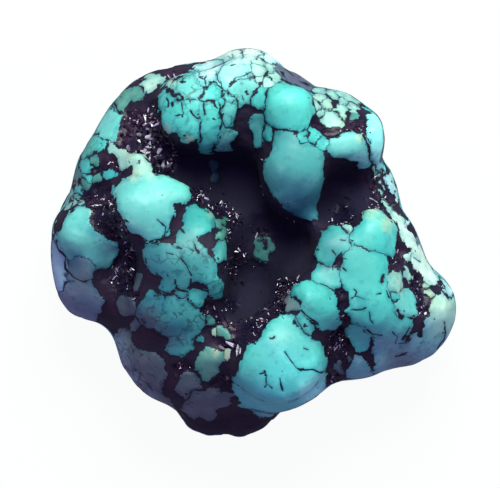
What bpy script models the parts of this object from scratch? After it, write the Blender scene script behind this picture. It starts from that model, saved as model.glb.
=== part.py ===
"""Raw turquoise nugget, tumbled smooth, lying on its back with its hollowed face up.

One closed stone, modelled the way it is put together: a bulk of rounded lumps grown into each
other, troughs where the black matrix wore away between them, knobs of turquoise that stand up
around the hollow, and a small flat worn underneath.

Frame: metres, +Z up, the origin on the resting plane under the middle of the stone's bounding box.
"""

import math

import bmesh
import bpy
from mathutils import Euler, Matrix, Vector

MM = 0.001

# Driving dimensions of the stone, in millimetres.
WIDTH = 38.1  # along X, across the hollowed face
HEIGHT = 36.6  # along Y
THICKNESS = 20.0  # along Z, from the worn flat to the highest knob
WORN_DEPTH = 0.9  # how much of the back is worn off to make the flat

# How the surface is made, in millimetres and smoothing passes.
LUMP_SPACING = 0.60  # grid on which lumps are fused
SKIN_SPACING = 1.0  # grid of the finished skin, which sets the number of faces
FUSE_PASSES = 5  # rounds the creases between lumps
KNOB_PASSES = 1  # the knobs keep crisper creases
CREASE_PASSES = 6  # softens where the knobs meet the bulk
WEAR_PASSES = 3  # wears the whole stone down a little
KNOB_SQUARENESS = 2.5  # 2 is round; more makes the knobs' tops flatter and their sides steeper
KNOB_ROOT = 2.0  # how much deeper a knob goes under its widest place than it stands above it
SWELL_LENGTH = 3.2  # wavelength of the uneven swells all over the skin
SWELL_DEPTH = 1.0  # from the lowest swell to the highest

TURQUOISE = (0.10, 0.55, 0.52, 1.0)

# Each shape below is an ellipsoid: centre, semi-axes, and turn in degrees about X, Y and Z.

# The bulk of the stone, whose rims draw its outline.
BULK = {
    "core": ((-0.5, 0.5, 7.6), (13.0, 12.5, 7.6), (0, 0, 0)),
    "left_lobe": ((-12.3, -1.6, 7.2), (6.8, 6.4, 5.6), (0, 0, 0)),
    "left_corner": ((-15.0, -4.3, 6.6), (3.6, 3.7, 4.2), (0, 0, -25)),
    "left_cheek": ((-11.3, 5.4, 8.8), (5.5, 6.2, 5.4), (0, 12, 0)),
    "upper_left": ((-4.2, 6.4, 8.2), (11.3, 11.3, 5.6), (0, 0, 0)),
    "upper_left_crown": ((-5.0, 5.6, 9.4), (9.6, 9.4, 6.6), (0, 0, 0)),
    "top_lump": ((-0.2, 12.6, 9.4), (4.8, 6.0, 5.8), (0, 0, 0)),
    "right_shoulder": ((6.3, 8.7, 8.8), (6.1, 6.1, 5.8), (0, 0, 0)),
    "shoulder_crown": ((6.2, 8.6, 10.4), (5.2, 5.4, 6.0), (0, 0, 0)),
    "back_ridge": ((8.6, 3.3, 5.8), (5.8, 6.0, 4.6), (0, 0, 0)),
    "right_mass": ((9.8, -2.0, 8.8), (6.5, 6.6, 6.4), (0, -8, 0)),
    "right_tip": ((13.7, -6.9, 7.4), (5.8, 5.4, 5.2), (0, 10, 0)),
    "right_underside": ((9.5, -7.6, 8.0), (6.0, 6.0, 5.8), (0, 0, 0)),
    "bottom_bulk": ((2.6, -11.1, 9.6), (5.4, 5.6, 5.4), (0, 0, 0)),
    "lower_left": ((-4.8, -8.1, 8.0), (8.3, 8.7, 6.2), (6, 0, 0)),
    "nub_left": ((-4.1, -14.2, 4.8), (3.5, 5.0, 3.4), (0, 0, 0)),
    "nub_right": ((-0.9, -14.4, 4.8), (4.3, 5.0, 3.2), (0, 0, 0)),
    # Lumps of the sides and the back.
    "left_girdle": ((-15.0, 2.6, 5.2), (3.2, 3.4, 2.6), (0, 0, 0)),
    "upper_girdle": ((-8.6, 12.6, 4.8), (4.4, 3.4, 3.0), (0, 0, 40)),
    "top_girdle": ((3.2, 13.4, 5.6), (3.4, 3.2, 2.6), (0, 0, 0)),
    "right_girdle": ((12.6, -1.6, 3.8), (3.6, 4.4, 2.6), (0, 0, 20)),
    "under_left": ((-7.0, -2.0, 2.6), (5.6, 5.0, 2.8), (0, 0, 0)),
    "under_right": ((5.4, -3.2, 2.6), (6.0, 5.6, 2.9), (0, 0, 30)),
    "under_top": ((-0.6, 7.4, 2.6), (6.4, 4.6, 2.7), (0, 0, -15)),
}

# The troughs that the matrix left when it wore away.
TROUGHS = {
    "centre_pit": ((-0.8, 5.4, 17.5), (4.8, 3.9, 8.6), (0, 0, 0)),
    "middle_pit": ((1.8, 0.4, 17.5), (4.3, 4.4, 8.8), (0, 0, 0)),
    "lower_pit": ((0.2, -4.0, 17.5), (3.3, 4.8, 9.2), (0, 0, -10)),
    "right_pit": ((9.0, 5.2, 16.5), (3.0, 2.5, 6.2), (0, 0, 0)),
    "pit_bridge": ((6.4, 2.8, 16.5), (3.4, 2.8, 6.8), (0, 0, 0)),
    "upper_left_trough": ((-10.2, 11.4, 16.5), (2.1, 3.6, 4.6), (0, 0, 15)),
    "left_trough": ((-8.2, 8.3, 16.8), (3.8, 2.2, 4.6), (0, 0, -20)),
    "trough_mouth": ((-4.8, 6.9, 17.0), (3.8, 2.6, 6.6), (0, 0, 0)),
    "shoulder_pit": ((6.9, 10.9, 17.0), (1.7, 0.9, 3.4), (0, 0, 0)),
    "cheek_pit": ((-13.8, 6.4, 15.0), (1.6, 2.4, 2.8), (0, 0, 20)),
    "left_channel": ((-12.4, -2.4, 14.0), (1.6, 5.4, 3.6), (0, 0, -12)),
    "right_channel": ((8.0, -8.6, 15.8), (1.7, 4.0, 3.6), (0, 0, 0)),
    # Hollows of the sides and the back.
    "left_notch": ((-15.6, -9.8, 6.0), (2.6, 1.8, 4.0), (0, 0, 32)),
    "top_side_hollow": ((-5.4, 18.6, 7.4), (3.6, 1.9, 2.6), (0, 0, 8)),
    "right_side_hollow": ((17.0, 2.6, 6.0), (2.4, 3.4, 2.2), (0, 0, 30)),
    "lower_side_hollow": ((9.4, -14.4, 5.0), (3.4, 2.4, 2.4), (0, 0, 0)),
    "left_side_hollow": ((-17.6, 8.6, 5.0), (2.6, 3.4, 2.4), (0, 0, -30)),
    "back_hollow": ((-1.4, 2.0, -2.4), (3.4, 2.2, 2.8), (0, 0, 20)),
    "back_groove": ((8.6, 6.6, -0.6), (4.6, 1.5, 2.6), (0, 0, -40)),
    "back_pit": ((-10.2, 5.4, 0.4), (2.2, 3.0, 2.4), (0, 0, 30)),
}

# The knobs of turquoise that stand up around the hollow, and one on its floor.
KNOBS = {
    "heart": ((-9.4, 3.0, 14.4), (4.2, 3.3, 3.4), (0, 0, 10)),
    "heart_right": ((-6.7, 4.2, 14.4), (2.1, 1.8, 3.0), (0, 0, 0)),
    "heart_stem": ((-10.4, 6.9, 13.6), (1.5, 1.9, 2.3), (0, 0, 0)),
    "left_brow": ((-15.2, 0.9, 10.0), (3.4, 3.0, 3.8), (0, 0, 0)),
    "left_slope": ((-7.2, -2.2, 13.8), (3.9, 3.3, 3.3), (0, 0, -40)),
    "slope_edge": ((-4.0, -1.6, 13.6), (2.0, 4.6, 3.8), (0, 0, 14)),
    "lower_slope": ((-7.0, -5.8, 12.4), (4.8, 3.6, 3.4), (0, 0, -20)),
    "bean": ((5.5, -5.8, 15.0), (3.1, 2.1, 3.2), (0, 0, -50)),
    "bottom_knob": ((2.4, -10.9, 13.6), (4.6, 4.7, 4.0), (0, 0, 0)),
    "bottom_shoulder": ((3.1, -7.6, 14.4), (1.9, 1.7, 2.6), (0, 0, 0)),
    "upper_plate": ((-4.9, 12.0, 13.6), (4.2, 4.1, 3.8), (0, 0, 0)),
    "upper_plate_lip": ((-3.4, 10.0, 12.8), (2.5, 2.0, 3.4), (0, 0, 0)),
    "top_plate": ((-0.6, 14.8, 12.8), (2.9, 2.7, 3.2), (0, 0, 0)),
    "egg": ((3.4, 12.4, 15.0), (2.7, 2.4, 3.0), (0, 0, 0)),
    "tongue": ((3.7, 6.8, 12.6), (3.4, 5.4, 4.6), (28, 0, 0)),
    "shoulder_knob": ((8.9, 9.1, 13.6), (2.6, 2.0, 3.2), (0, 0, 0)),
    "shoulder_edge": ((10.7, 9.8, 11.4), (1.8, 3.0, 3.4), (0, 0, 0)),
    "right_plate": ((10.4, -4.0, 13.6), (3.7, 5.4, 3.6), (0, 0, 18)),
    "right_low_plate": ((11.8, -7.0, 12.0), (4.0, 3.0, 3.0), (0, 0, 0)),
    "right_gate": ((7.2, -0.6, 13.4), (1.9, 2.6, 3.6), (0, 0, -10)),
    "peak": ((11.2, 0.9, 13.0), (2.2, 2.5, 4.0), (0, 0, 0)),
    "tip_knob": ((16.6, -6.6, 9.4), (2.2, 2.6, 3.2), (0, 0, 0)),
    "lower_knob": ((-4.1, -10.8, 12.0), (1.6, 1.7, 2.6), (0, 0, 0)),
    "pit_sill": ((-2.2, -9.6, 11.8), (2.4, 1.4, 2.6), (0, 0, 0)),
    "island": ((1.1, -0.6, 8.2), (1.4, 1.5, 1.8), (0, 0, 0)),
}


def clear_scene():
    for obj in list(bpy.data.objects):
        bpy.data.objects.remove(obj)


def placed(centre, semi_axes, turn):
    """The matrix that makes a unit ball into one ellipsoid of a list above."""
    turned = Euler([math.radians(angle) for angle in turn]).to_matrix().to_4x4()
    stretch = Matrix.Diagonal((*(axis * MM for axis in semi_axes), 1))
    return Matrix.Translation(Vector(centre) * MM) @ turned @ stretch


def rounded_block(co, squareness):
    """The point of a squarer ball, flatter on top and steeper at the side, in a round ball's direction."""
    side = math.hypot(co.x, co.y)
    return co / (side**squareness + abs(co.z) ** squareness) ** (1 / squareness)


def ellipsoids(name, shapes, squareness=2.0, root=1.0):
    """One object that holds an ellipsoid for each shape, still overlapping; root deepens their lower halves."""
    mesh = bpy.data.meshes.new(name)
    bm = bmesh.new()
    for centre, semi_axes, turn in shapes.values():
        ball = bmesh.ops.create_icosphere(bm, subdivisions=4, radius=1.0)["verts"]
        for vert in ball:
            vert.co = rounded_block(vert.co, squareness)
            vert.co.z *= root if vert.co.z < 0 else 1.0
        bmesh.ops.transform(bm, matrix=placed(centre, semi_axes, turn), verts=ball)
    bm.to_mesh(mesh)
    bm.free()
    obj = bpy.data.objects.new(name, mesh)
    bpy.context.scene.collection.objects.link(obj)
    return obj


def fuse(obj, spacing, passes):
    """Melts an object's overlapping solids into one skin and rounds its creases."""
    remesh = obj.modifiers.new("fuse", "REMESH")
    remesh.mode = "VOXEL"
    remesh.voxel_size = spacing * MM
    remesh.use_smooth_shade = True
    smooth = obj.modifiers.new("round", "SMOOTH")
    smooth.factor = 0.5
    smooth.iterations = passes


def roughen(obj, wavelength, depth):
    """Lets the skin swell and sink a little, as no lump of a stone is a true ellipsoid."""
    clouds = bpy.data.textures.new("swells", "CLOUDS")
    clouds.noise_scale = wavelength * MM
    displace = obj.modifiers.new("swell", "DISPLACE")
    displace.texture = clouds
    displace.texture_coords = "GLOBAL"
    displace.strength = depth * MM


def combine(obj, other, operation):
    """Cuts the other object from obj, or joins it, and leaves it out of the model."""
    other.hide_render = True
    other.display_type = "WIRE"
    boolean = obj.modifiers.new(other.name, "BOOLEAN")
    boolean.operation = operation
    boolean.solver = "MANIFOLD"  # EXACT can lose the bulk where two fused skins nearly touch
    boolean.object = other


def box_of(bm):
    """The lowest and highest corner of a mesh."""
    corners = [[pick(vert.co[axis] for vert in bm.verts) for axis in range(3)] for pick in (min, max)]
    return Vector(corners[0]), Vector(corners[1])


def size_to_driving_dimensions(obj):
    """Makes the fused skin the object's own mesh, at its real size and with its back just under Z 0."""
    graph = bpy.context.evaluated_depsgraph_get()
    mesh = bpy.data.meshes.new_from_object(obj.evaluated_get(graph))
    bm = bmesh.new()
    bm.from_mesh(mesh)
    low, high = box_of(bm)
    size = Vector((WIDTH, HEIGHT, THICKNESS + WORN_DEPTH)) * MM
    stretch = Matrix.Diagonal([wanted / drawn for wanted, drawn in zip(size, high - low)]).to_4x4()
    base = Vector(((low.x + high.x) / 2, (low.y + high.y) / 2, low.z))
    sunk = Matrix.Translation((0, 0, -WORN_DEPTH * MM))
    bm.transform(sunk @ stretch @ Matrix.Translation(-base))
    bm.to_mesh(mesh)
    bm.free()
    obj.modifiers.clear()
    obj.data = mesh


def grinding_block():
    """A block whose top is the resting plane."""
    mesh = bpy.data.meshes.new("grinding_block")
    bm = bmesh.new()
    side = 2 * WIDTH * MM
    at = Matrix.Translation((0, 0, -side / 2)) @ Matrix.Scale(side, 4)
    bmesh.ops.create_cube(bm, size=1.0, matrix=at)
    bm.to_mesh(mesh)
    bm.free()
    block = bpy.data.objects.new("grinding_block", mesh)
    bpy.context.scene.collection.objects.link(block)
    return block


def stone_material():
    """Polished turquoise, on the whole stone."""
    material = bpy.data.materials.new("turquoise")
    material.use_nodes = True
    shader = material.node_tree.nodes["Principled BSDF"]
    shader.inputs["Base Color"].default_value = TURQUOISE
    shader.inputs["Roughness"].default_value = 0.3
    return material


def build():
    clear_scene()
    nugget = ellipsoids("nugget", BULK)
    fuse(nugget, LUMP_SPACING, FUSE_PASSES)
    troughs = ellipsoids("troughs", TROUGHS)
    fuse(troughs, LUMP_SPACING, FUSE_PASSES)
    combine(nugget, troughs, "DIFFERENCE")
    knobs = ellipsoids("knobs", KNOBS, KNOB_SQUARENESS, KNOB_ROOT)
    fuse(knobs, LUMP_SPACING, KNOB_PASSES)
    combine(nugget, knobs, "UNION")
    fuse(nugget, LUMP_SPACING, CREASE_PASSES)
    roughen(nugget, SWELL_LENGTH, SWELL_DEPTH)
    fuse(nugget, SKIN_SPACING, WEAR_PASSES)
    size_to_driving_dimensions(nugget)
    combine(nugget, grinding_block(), "DIFFERENCE")
    nugget.data.materials.append(stone_material())


build()
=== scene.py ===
# %% [markdown]
# # A raw turquoise nugget
# Turquoise grows as small round nodules packed in a dark crumbly host rock. A raw nugget of it is
# tumbled and rubbed: the hard blue nodules come out smooth and glossy, and the soft host rock, which
# cutters call the matrix, is left lower, rough and almost black between them.
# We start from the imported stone, which gives the main shape, and dress it with those two minerals.

import bmesh
import bpy
import numpy as np
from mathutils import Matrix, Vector
from mathutils.bvhtree import BVHTree
from mathutils.kdtree import KDTree


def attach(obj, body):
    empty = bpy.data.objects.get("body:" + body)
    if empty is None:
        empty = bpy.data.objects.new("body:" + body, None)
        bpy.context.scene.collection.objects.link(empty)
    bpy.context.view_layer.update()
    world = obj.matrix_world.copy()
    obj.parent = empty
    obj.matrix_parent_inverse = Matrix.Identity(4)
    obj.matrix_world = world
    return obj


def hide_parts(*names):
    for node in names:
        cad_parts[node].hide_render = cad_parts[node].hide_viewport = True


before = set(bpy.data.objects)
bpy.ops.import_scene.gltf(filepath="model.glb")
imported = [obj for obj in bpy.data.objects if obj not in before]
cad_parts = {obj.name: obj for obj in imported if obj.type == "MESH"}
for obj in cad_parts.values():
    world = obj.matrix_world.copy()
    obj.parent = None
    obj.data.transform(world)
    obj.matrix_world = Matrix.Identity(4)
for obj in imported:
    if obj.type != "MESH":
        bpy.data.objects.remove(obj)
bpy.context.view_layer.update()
MM = 0.001

# %% [markdown]
# ## A skin fine enough to carve
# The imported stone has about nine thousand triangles, a millimetre across. A nodule's edge needs points
# less than a quarter of a millimetre apart. We could subdivide, which keeps the old triangles as faint
# flats. Instead we merge a copy, remesh it in even voxels and smooth it, which leaves no trace of them.

# %% Remesh a copy of the stone
MERGE_WITHIN = 0.001 * MM
SKIN_STEP = 0.226 * MM
SMOOTH_PASSES = 12


def new_object(name, data):
    made = bpy.data.objects.new(name, data)
    bpy.context.scene.collection.objects.link(made)
    return made


def apply_modifiers(piece):
    """Puts what the modifiers made in place of the piece's own mesh."""
    shape = bpy.data.meshes.new_from_object(piece.evaluated_get(bpy.context.evaluated_depsgraph_get()))
    piece.modifiers.clear()
    piece.data = shape
    shape.name = piece.name


def stone_skin(node):
    mesh = node.data.copy()
    tool = bmesh.new()
    tool.from_mesh(mesh)
    bmesh.ops.remove_doubles(tool, verts=tool.verts, dist=MERGE_WITHIN)
    tool.to_mesh(mesh)
    tool.free()
    skin = new_object("turquoise_nugget", mesh)
    voxels = skin.modifiers.new("voxels", "REMESH")
    voxels.mode = "VOXEL"
    voxels.voxel_size = SKIN_STEP
    smooth = skin.modifiers.new("smooth", "SMOOTH")
    smooth.factor = 0.5
    smooth.iterations = SMOOTH_PASSES
    apply_modifiers(skin)
    skin.data.materials.clear()
    return skin


nugget = stone_skin(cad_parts["nugget"])
print("skin points:", len(nugget.data.vertices), "faces:", len(nugget.data.polygons))

# %% [markdown]
# ## Numbers for every point
# Everything below asks the same question of each point of the skin: how far is it from the edge of the
# nearest nodule? Numpy answers for all the points at once, so we read the mesh into arrays first, in
# millimetres, with x to the right, y up the stone's face and z out of it.

# %% Read the skin into arrays
def read_skin(mesh, what):
    values = np.empty(len(mesh.vertices) * 3, np.float32)
    mesh.vertices.foreach_get(what, values)
    return values.reshape(-1, 3)


points, normals = read_skin(nugget.data, "co") / MM, read_skin(nugget.data, "normal")
skin_tree = BVHTree.FromObject(nugget, bpy.context.evaluated_depsgraph_get())
print("skin box, mm:", points.min(0).round(2), points.max(0).round(2))

# %% [markdown]
# ## A little disorder
# Mineral edges wander. A smooth random field shifts each point a little before it is measured, so round
# nodules come out as natural blobs. Blender has such noise, one point at a time; here is the same idea
# for a whole array: random numbers on a lattice, blended smoothly between its corners. Turquoise also
# breaks along its grains, in small corners rather than curves, so points lean towards random grains.

# %% Smooth random fields
def dice_at(cell, seed):
    """A random number from -1 to 1 for each whole numbered cell, mixed from its bits by large primes."""
    mixed = (cell[:, 0] * 73856093 ^ cell[:, 1] * 19349663 ^ cell[:, 2] * 83492791) + seed * 2654435761
    mixed = (mixed ^ mixed >> 13) * 1274126177 & 0x7FFFFFFF
    mixed = (mixed ^ mixed >> 11) * 668265263 & 0x7FFFFFFF
    return mixed / 0x3FFFFFFF - 1


def noise(where, size, seed):
    """A value from -1 to 1 at each point, changing over about `size` millimetres."""
    cell = np.floor(where / size).astype(np.int64)
    part = where / size - cell
    part = part * part * (3 - 2 * part)
    total = np.zeros(len(where))
    for corner in range(8):
        step = np.array([corner & 1, corner >> 1 & 1, corner >> 2 & 1])
        weight = np.prod(np.where(step == 1, part, 1 - part), axis=1)
        total += weight * dice_at(cell + step, seed)
    return total


def wander(where, size, amount, seed):
    shift = [noise(where, size, seed + k) for k in range(3)]
    return where + amount * np.stack(shift, axis=1)


def smoothstep(low, high, value):
    part = np.clip((value - low) / (high - low), 0, 1)
    return part * part * (3 - 2 * part)


# %% Edges that break along grains
WANDER_SIZE, WANDER_BY = 1.4, 0.25
COARSE_GRAIN, FINE_GRAIN = 1.1, 0.55
GRAIN_PULL = 0.30
GRAIN_JITTER = 0.4
FAR = 1e9


def grainy(where, size, share, seed):
    """Draws each point towards the seat of its nearest grain, so that edges break along grains."""
    cell = np.floor(where / size).astype(np.int64)
    best, seat = np.full(len(where), FAR), where.copy()
    for step in np.ndindex(3, 3, 3):
        corner = cell + np.array(step) - 1
        jitter = np.stack([dice_at(corner, seed + k) for k in range(3)], axis=1)
        centre = (corner + 0.5 + GRAIN_JITTER * jitter) * size
        away = ((where - centre) ** 2).sum(1)
        nearer = away < best
        best[nearer], seat[nearer] = away[nearer], centre[nearer]
    return where + share * (seat - where)


shifted = wander(points, WANDER_SIZE, WANDER_BY, seed=11)
shifted = grainy(shifted, COARSE_GRAIN, GRAIN_PULL, seed=21)
shifted = grainy(shifted, FINE_GRAIN, GRAIN_PULL, seed=25)
print("points move by up to", np.abs(shifted - points).max().round(2), "mm")

# %% [markdown]
# ## The nodules of the face
# Each nodule is a few overlapping circles, given as x, y and radius in millimetres, seen from above the
# stone's face, and a word for its colour. Nodules could be scattered at random, but this face has forms
# that make it this stone: the heart, the brow, the plate, the egg, the tongue, the peak, the bean and
# the big knob, so they are drawn one by one, region by region. Names that share the word before the dot
# are parts of one mass, with no vein between them. Small bits need no name, so a helper numbers them.

# %% The left lobe
NODULES = {
    "heart.body": ("light", [
        (-11.6, 4.7, 1.4), (-10.7, 5.0, 1.45), (-11.2, 3.6, 1.45), (-10.0, 4.0, 1.8), (-8.8, 4.6, 1.5),
        (-7.9, 5.1, 1.25), (-7.0, 4.9, 1.0), (-6.4, 4.7, .85), (-9.9, 2.5, 1.6), (-10.6, 2.3, 1.2),
        (-9.2, 1.6, 1.2), (-8.6, 2.9, 1.2), (-9.6, 1.2, .9)]),
    "heart.stem": ("pale", [
        (-13.3, 9.3, .3), (-13.0, 8.7, .35), (-12.4, 8.2, .45), (-11.6, 7.9, .5), (-11.0, 8.0, .5),
        (-10.4, 8.0, .6), (-10.0, 7.4, .6), (-9.9, 6.7, .55), (-9.8, 6.1, .5), (-10.6, 6.7, .5),
        (-12.3, 7.5, .3), (-11.7, 7.4, .35)]),
    "brow": ("light", [
        (-16.3, 2.2, 1.1), (-15.9, 2.9, .9), (-16.6, 1.2, 1.2), (-15.6, 1.4, .8), (-17.2, .3, 1.2),
        (-15.9, .2, 1.3), (-14.9, -.5, 1.3), (-14.2, -1.1, 1.2), (-13.3, -.9, .85), (-16.8, -.2, 1.0)]),
    # lobe_round and lobe_low take dusk: painted shade, a violet blue for the lobe's lower half, turned from
    # the key light
    "lobe_round": ("painted_shade_dusk", [(-16.2, -2.4, 1.35), (-15.5, -2.1, .8)]),
    # lobe_side takes mist: painted light, a pale violet blue that lifts the shaded left edge
    "lobe_side": ("painted_light_mist", [(-18.2, -2.2, 1.1), (-18.2, -1.0, .8), (-18.5, -.3, .5), (-18.2, -3.4, .9)]),
    "lobe_low": ("painted_shade_dusk", [
        (-16.0, -4.9, 1.6), (-15.2, -5.4, 1.2), (-16.4, -6.1, 1.1), (-17.2, -4.6, 1.0), (-17.4, -5.6, .9),
        (-15.6, -6.8, .9), (-17.9, -4.8, .6)]),
    "lobe_rim_a": ("pale", [(-17.5, 4.0, .5), (-17.2, 4.9, .4)]),
    "lobe_rim_b": ("pale", [(-18.6, 2.2, .3), (-18.8, 1.2, .3)]),
}


def add_bits(name, pieces):
    NODULES.update({f"{name}_{k}": piece for k, piece in enumerate(pieces, 1)})


add_bits("lobe_bit", [
    ("sky", [(-15.7, 7.4, .45), (-15.5, 6.95, .3)]),
    ("green", [(-15.0, 7.9, .42), (-14.6, 7.6, .25)]),
    ("sky", [(-15.6, 6.3, .34), (-15.2, 6.2, .22)]),
    ("green", [(-14.8, 6.2, .25), (-14.3, 6.35, .28)]),
    ("sky", [(-13.8, 6.65, .2), (-13.4, 6.45, .26), (-13.0, 6.6, .22)]),
    ("green", [(-15.9, 5.6, .32), (-15.5, 5.5, .24)]),
    ("sky", [(-16.4, 5.3, .38), (-16.3, 4.9, .25)]),
    ("green", [(-16.6, 4.4, .34)]),
    ("green", [(-16.6, 6.5, .38), (-16.5, 7.0, .25)]),
    ("slate", [(-17.1, 5.7, .32)]),
    ("pale", [(-16.9, 4.1, .3)]),
    ("pale", [(-16.1, 3.9, .22)]),
    ("slate", [(-10.5, -2.9, .25), (-10.6, -3.4, .25), (-10.8, -3.9, .3)]),
])
print("left lobe:", len(NODULES), "nodules")

# %% The upper left rim
NODULES |= {
    "rim_a": ("green", [
        (-12.4, 13.2, .6), (-12.7, 12.7, .4), (-11.8, 13.9, .5), (-11.1, 14.2, .6), (-10.7, 13.9, .45)]),
    "rim_b": ("light", [(-13.3, 11.9, .85), (-13.7, 11.0, 1.05), (-13.5, 10.3, .85), (-14.4, 10.6, .6)]),
    "rim_c": ("sky", [(-14.3, 9.6, .65), (-15.2, 9.3, .7), (-15.6, 8.6, .6), (-13.8, 9.4, .4)]),
    "rim_top": ("pale", [(-9.9, 14.9, .55), (-9.2, 15.1, .5), (-8.5, 15.3, .4), (-9.6, 15.4, .35)]),
    "rim_crumb": ("pale", [(-7.9, 14.8, .35)]),
}

# %% The plate, webbed with cracks, and the crown above it
NODULES |= {
    "plate.left": ("sky", [
        (-7.9, 12.9, .75), (-7.9, 11.7, .75), (-7.4, 11.0, .9), (-6.3, 10.6, 1.1), (-5.8, 10.0, .85),
        (-6.5, 12.2, 1.1), (-5.7, 11.3, .8), (-8.2, 13.5, .45)]),
    "plate_top": ("light", [
        (-6.9, 14.6, .7), (-5.8, 14.6, 1.0), (-5.6, 15.5, .6), (-6.1, 13.6, .8), (-5.3, 13.9, .6)]),
    "plate.middle": ("sky", [
        (-4.1, 13.9, .75), (-3.6, 14.2, .6), (-5.1, 12.6, .65), (-4.6, 13.5, .5), (-3.1, 12.9, .4)]),
    "plate.low": ("sky", [
        (-4.0, 12.4, .6), (-3.9, 11.9, .7), (-3.7, 10.9, .9), (-4.1, 10.0, .75), (-4.3, 9.0, .6),
        (-4.3, 8.4, .45), (-3.4, 9.6, .6)]),
    "plate_right": ("light", [
        (-2.3, 13.3, .7), (-2.3, 12.3, .7), (-2.2, 11.4, .65), (-2.4, 10.1, .75), (-2.9, 9.3, .7),
        (-2.6, 8.9, .5)]),
    "plate_far": ("light", [
        (-1.3, 13.2, .4), (-.7, 13.3, .35), (-1.5, 14.4, .8), (-.7, 14.8, .8), (-.3, 14.3, .5),
        (-.9, 13.7, .5), (-1.9, 13.9, .6)]),
    "crown.a": ("frost", [
        (-4.2, 16.3, .8), (-4.7, 16.0, .6), (-3.6, 16.0, .7), (-4.0, 15.5, .5), (-5.0, 16.4, .35)]),
    "crown.b": ("mint", [
        (-2.1, 16.4, .9), (-1.3, 16.6, .9), (-2.3, 15.4, .8), (-1.5, 15.9, .7), (-.6, 16.5, .7)]),
    "crown.c": ("cream", [(-3.3, 17.6, .5), (-2.3, 17.8, .5), (-1.6, 17.6, .5)]),
    "crown.d": ("cream", [(-.4, 17.7, .65), (.2, 17.8, .6)]),
    "crown.fill": ("light", [
        (-4.4, 15.1, .5), (-2.8, 14.9, .6), (-3.3, 16.7, .5), (-.8, 15.6, .45), (-5.1, 15.0, .5),
        (-5.0, 15.7, .5)]),
}
add_bits("crown_cell", [
    ("pale", [(.45, 16.9, .42)]),
    ("pale", [(.4, 16.1, .45)]),
    ("frost", [(.6, 17.5, .3)]),
    ("pale", [(1.6, 16.6, .5)]),
    ("pale", [(2.1, 15.6, .65)]),
    ("pale", [(1.4, 14.8, .5)]),
    ("frost", [(1.7, 17.5, .7)]),
    ("pale", [(.4, 15.3, .35)]),
])

# %% The egg, the tongue and the pale crumbs beside them
NODULES |= {
    "egg": ("sky", [
        (3.2, 13.1, 1.9), (2.9, 12.4, 1.85), (4.2, 13.3, 1.3), (4.2, 12.2, 1.4), (4.7, 11.4, .8),
        (2.3, 11.9, 1.3)]),
    "egg_side": ("sky", [
        (.1, 13.5, .45), (.2, 13.0, .4), (.2, 14.0, .4), (.6, 13.8, .5), (.9, 13.2, .4), (.5, 12.9, .4),
        (.8, 14.1, .45)]),
    "drop": ("sea", [
        (0, 10.9, .5), (0, 11.3, .3), (.3, 10.6, .5), (.3, 11.5, .35), (.2, 10.0, .4), (.3, 9.3, .3)]),
    "drop_small": ("sky", [(1.3, 9.9, .5), (1.1, 10.5, .35)]),
    "tongue.top": ("sea", [
        (2.9, 9.3, 1.15), (3.4, 8.2, 1.6), (4.9, 7.6, 1.5), (2.5, 6.9, 1.7), (3.6, 6.2, 2.3),
        (4.9, 5.6, 1.9), (3.3, 5.0, 1.4), (4.6, 4.4, 1.9), (5.2, 3.6, 1.2), (5.6, 4.0, .9)]),
}
add_bits("crumb", [
    ("sky", [(4.4, 10.0, .35), (4.5, 9.5, .3)]),
    ("sky", [(5.4, 10.0, .45), (5.7, 9.6, .35)]),
    ("sky", [(5.9, 9.3, .3), (6.4, 9.0, .3)]),
    ("pale", [(5.7, 12.6, .42), (5.5, 12.9, .25)]),
    ("pale", [(6.0, 13.5, .36), (6.2, 13.3, .2)]),
    ("pale", [(6.2, 14.4, .40), (5.8, 14.5, .3)]),
    ("pale", [(6.6, 13.0, .38), (6.8, 12.7, .25)]),
    ("pale", [(6.2, 12.1, .36), (5.9, 12.0, .2)]),
    ("pale", [(8.0, 12.3, .50), (8.1, 12.8, .25), (8.2, 11.9, .3)]),
    ("pale", [(7.6, 11.4, .55), (7.1, 11.2, .4), (6.8, 11.6, .35)]),
    ("pale", [(7.2, 14.1, .36), (7.5, 13.7, .22)]),
    ("pale", [(8.3, 13.2, .28)]),
    ("pale", [(9.3, 12.6, .38), (9.0, 12.9, .25)]),
    ("green", [(9.3, 11.7, .26)]),
    ("pale", [(8.2, 14.1, .36), (8.9, 13.6, .36), (9.6, 13.1, .36), (7.6, 14.7, .3)]),
    ("frost", [(6.3, 15.3, .4), (7.0, 15.0, .4)]),
    ("pale", [(6.9, 12.2, .22)]),
])
NODULES |= {
    "band": ("haze", [
        (2.7, 16.5, .45), (3.2, 15.9, .5), (3.8, 15.3, .5), (4.5, 14.8, .45), (5.1, 14.5, .3),
        (3.7, 16.1, .4), (4.5, 15.6, .4), (5.4, 15.2, .35)]),
    "shoulder": ("light", [
        (7.6, 8.9, .85), (8.5, 9.2, 1.05), (9.4, 9.5, .85), (9.2, 8.5, 1.15), (9.8, 8.2, .75),
        (10.0, 7.4, .65)]),
    # shoulder_edge takes glow: painted light, a bright pale blue for light catching the outer edge
    "shoulder_edge": ("glow", [
        (11.9, 9.4, .6), (11.8, 10.6, .5), (11.3, 11.0, .85), (11.1, 11.8, .65), (11.4, 9.9, .95),
        (11.5, 8.8, .85), (11.5, 8.0, .6), (11.9, 7.3, .35)]),
}

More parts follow.
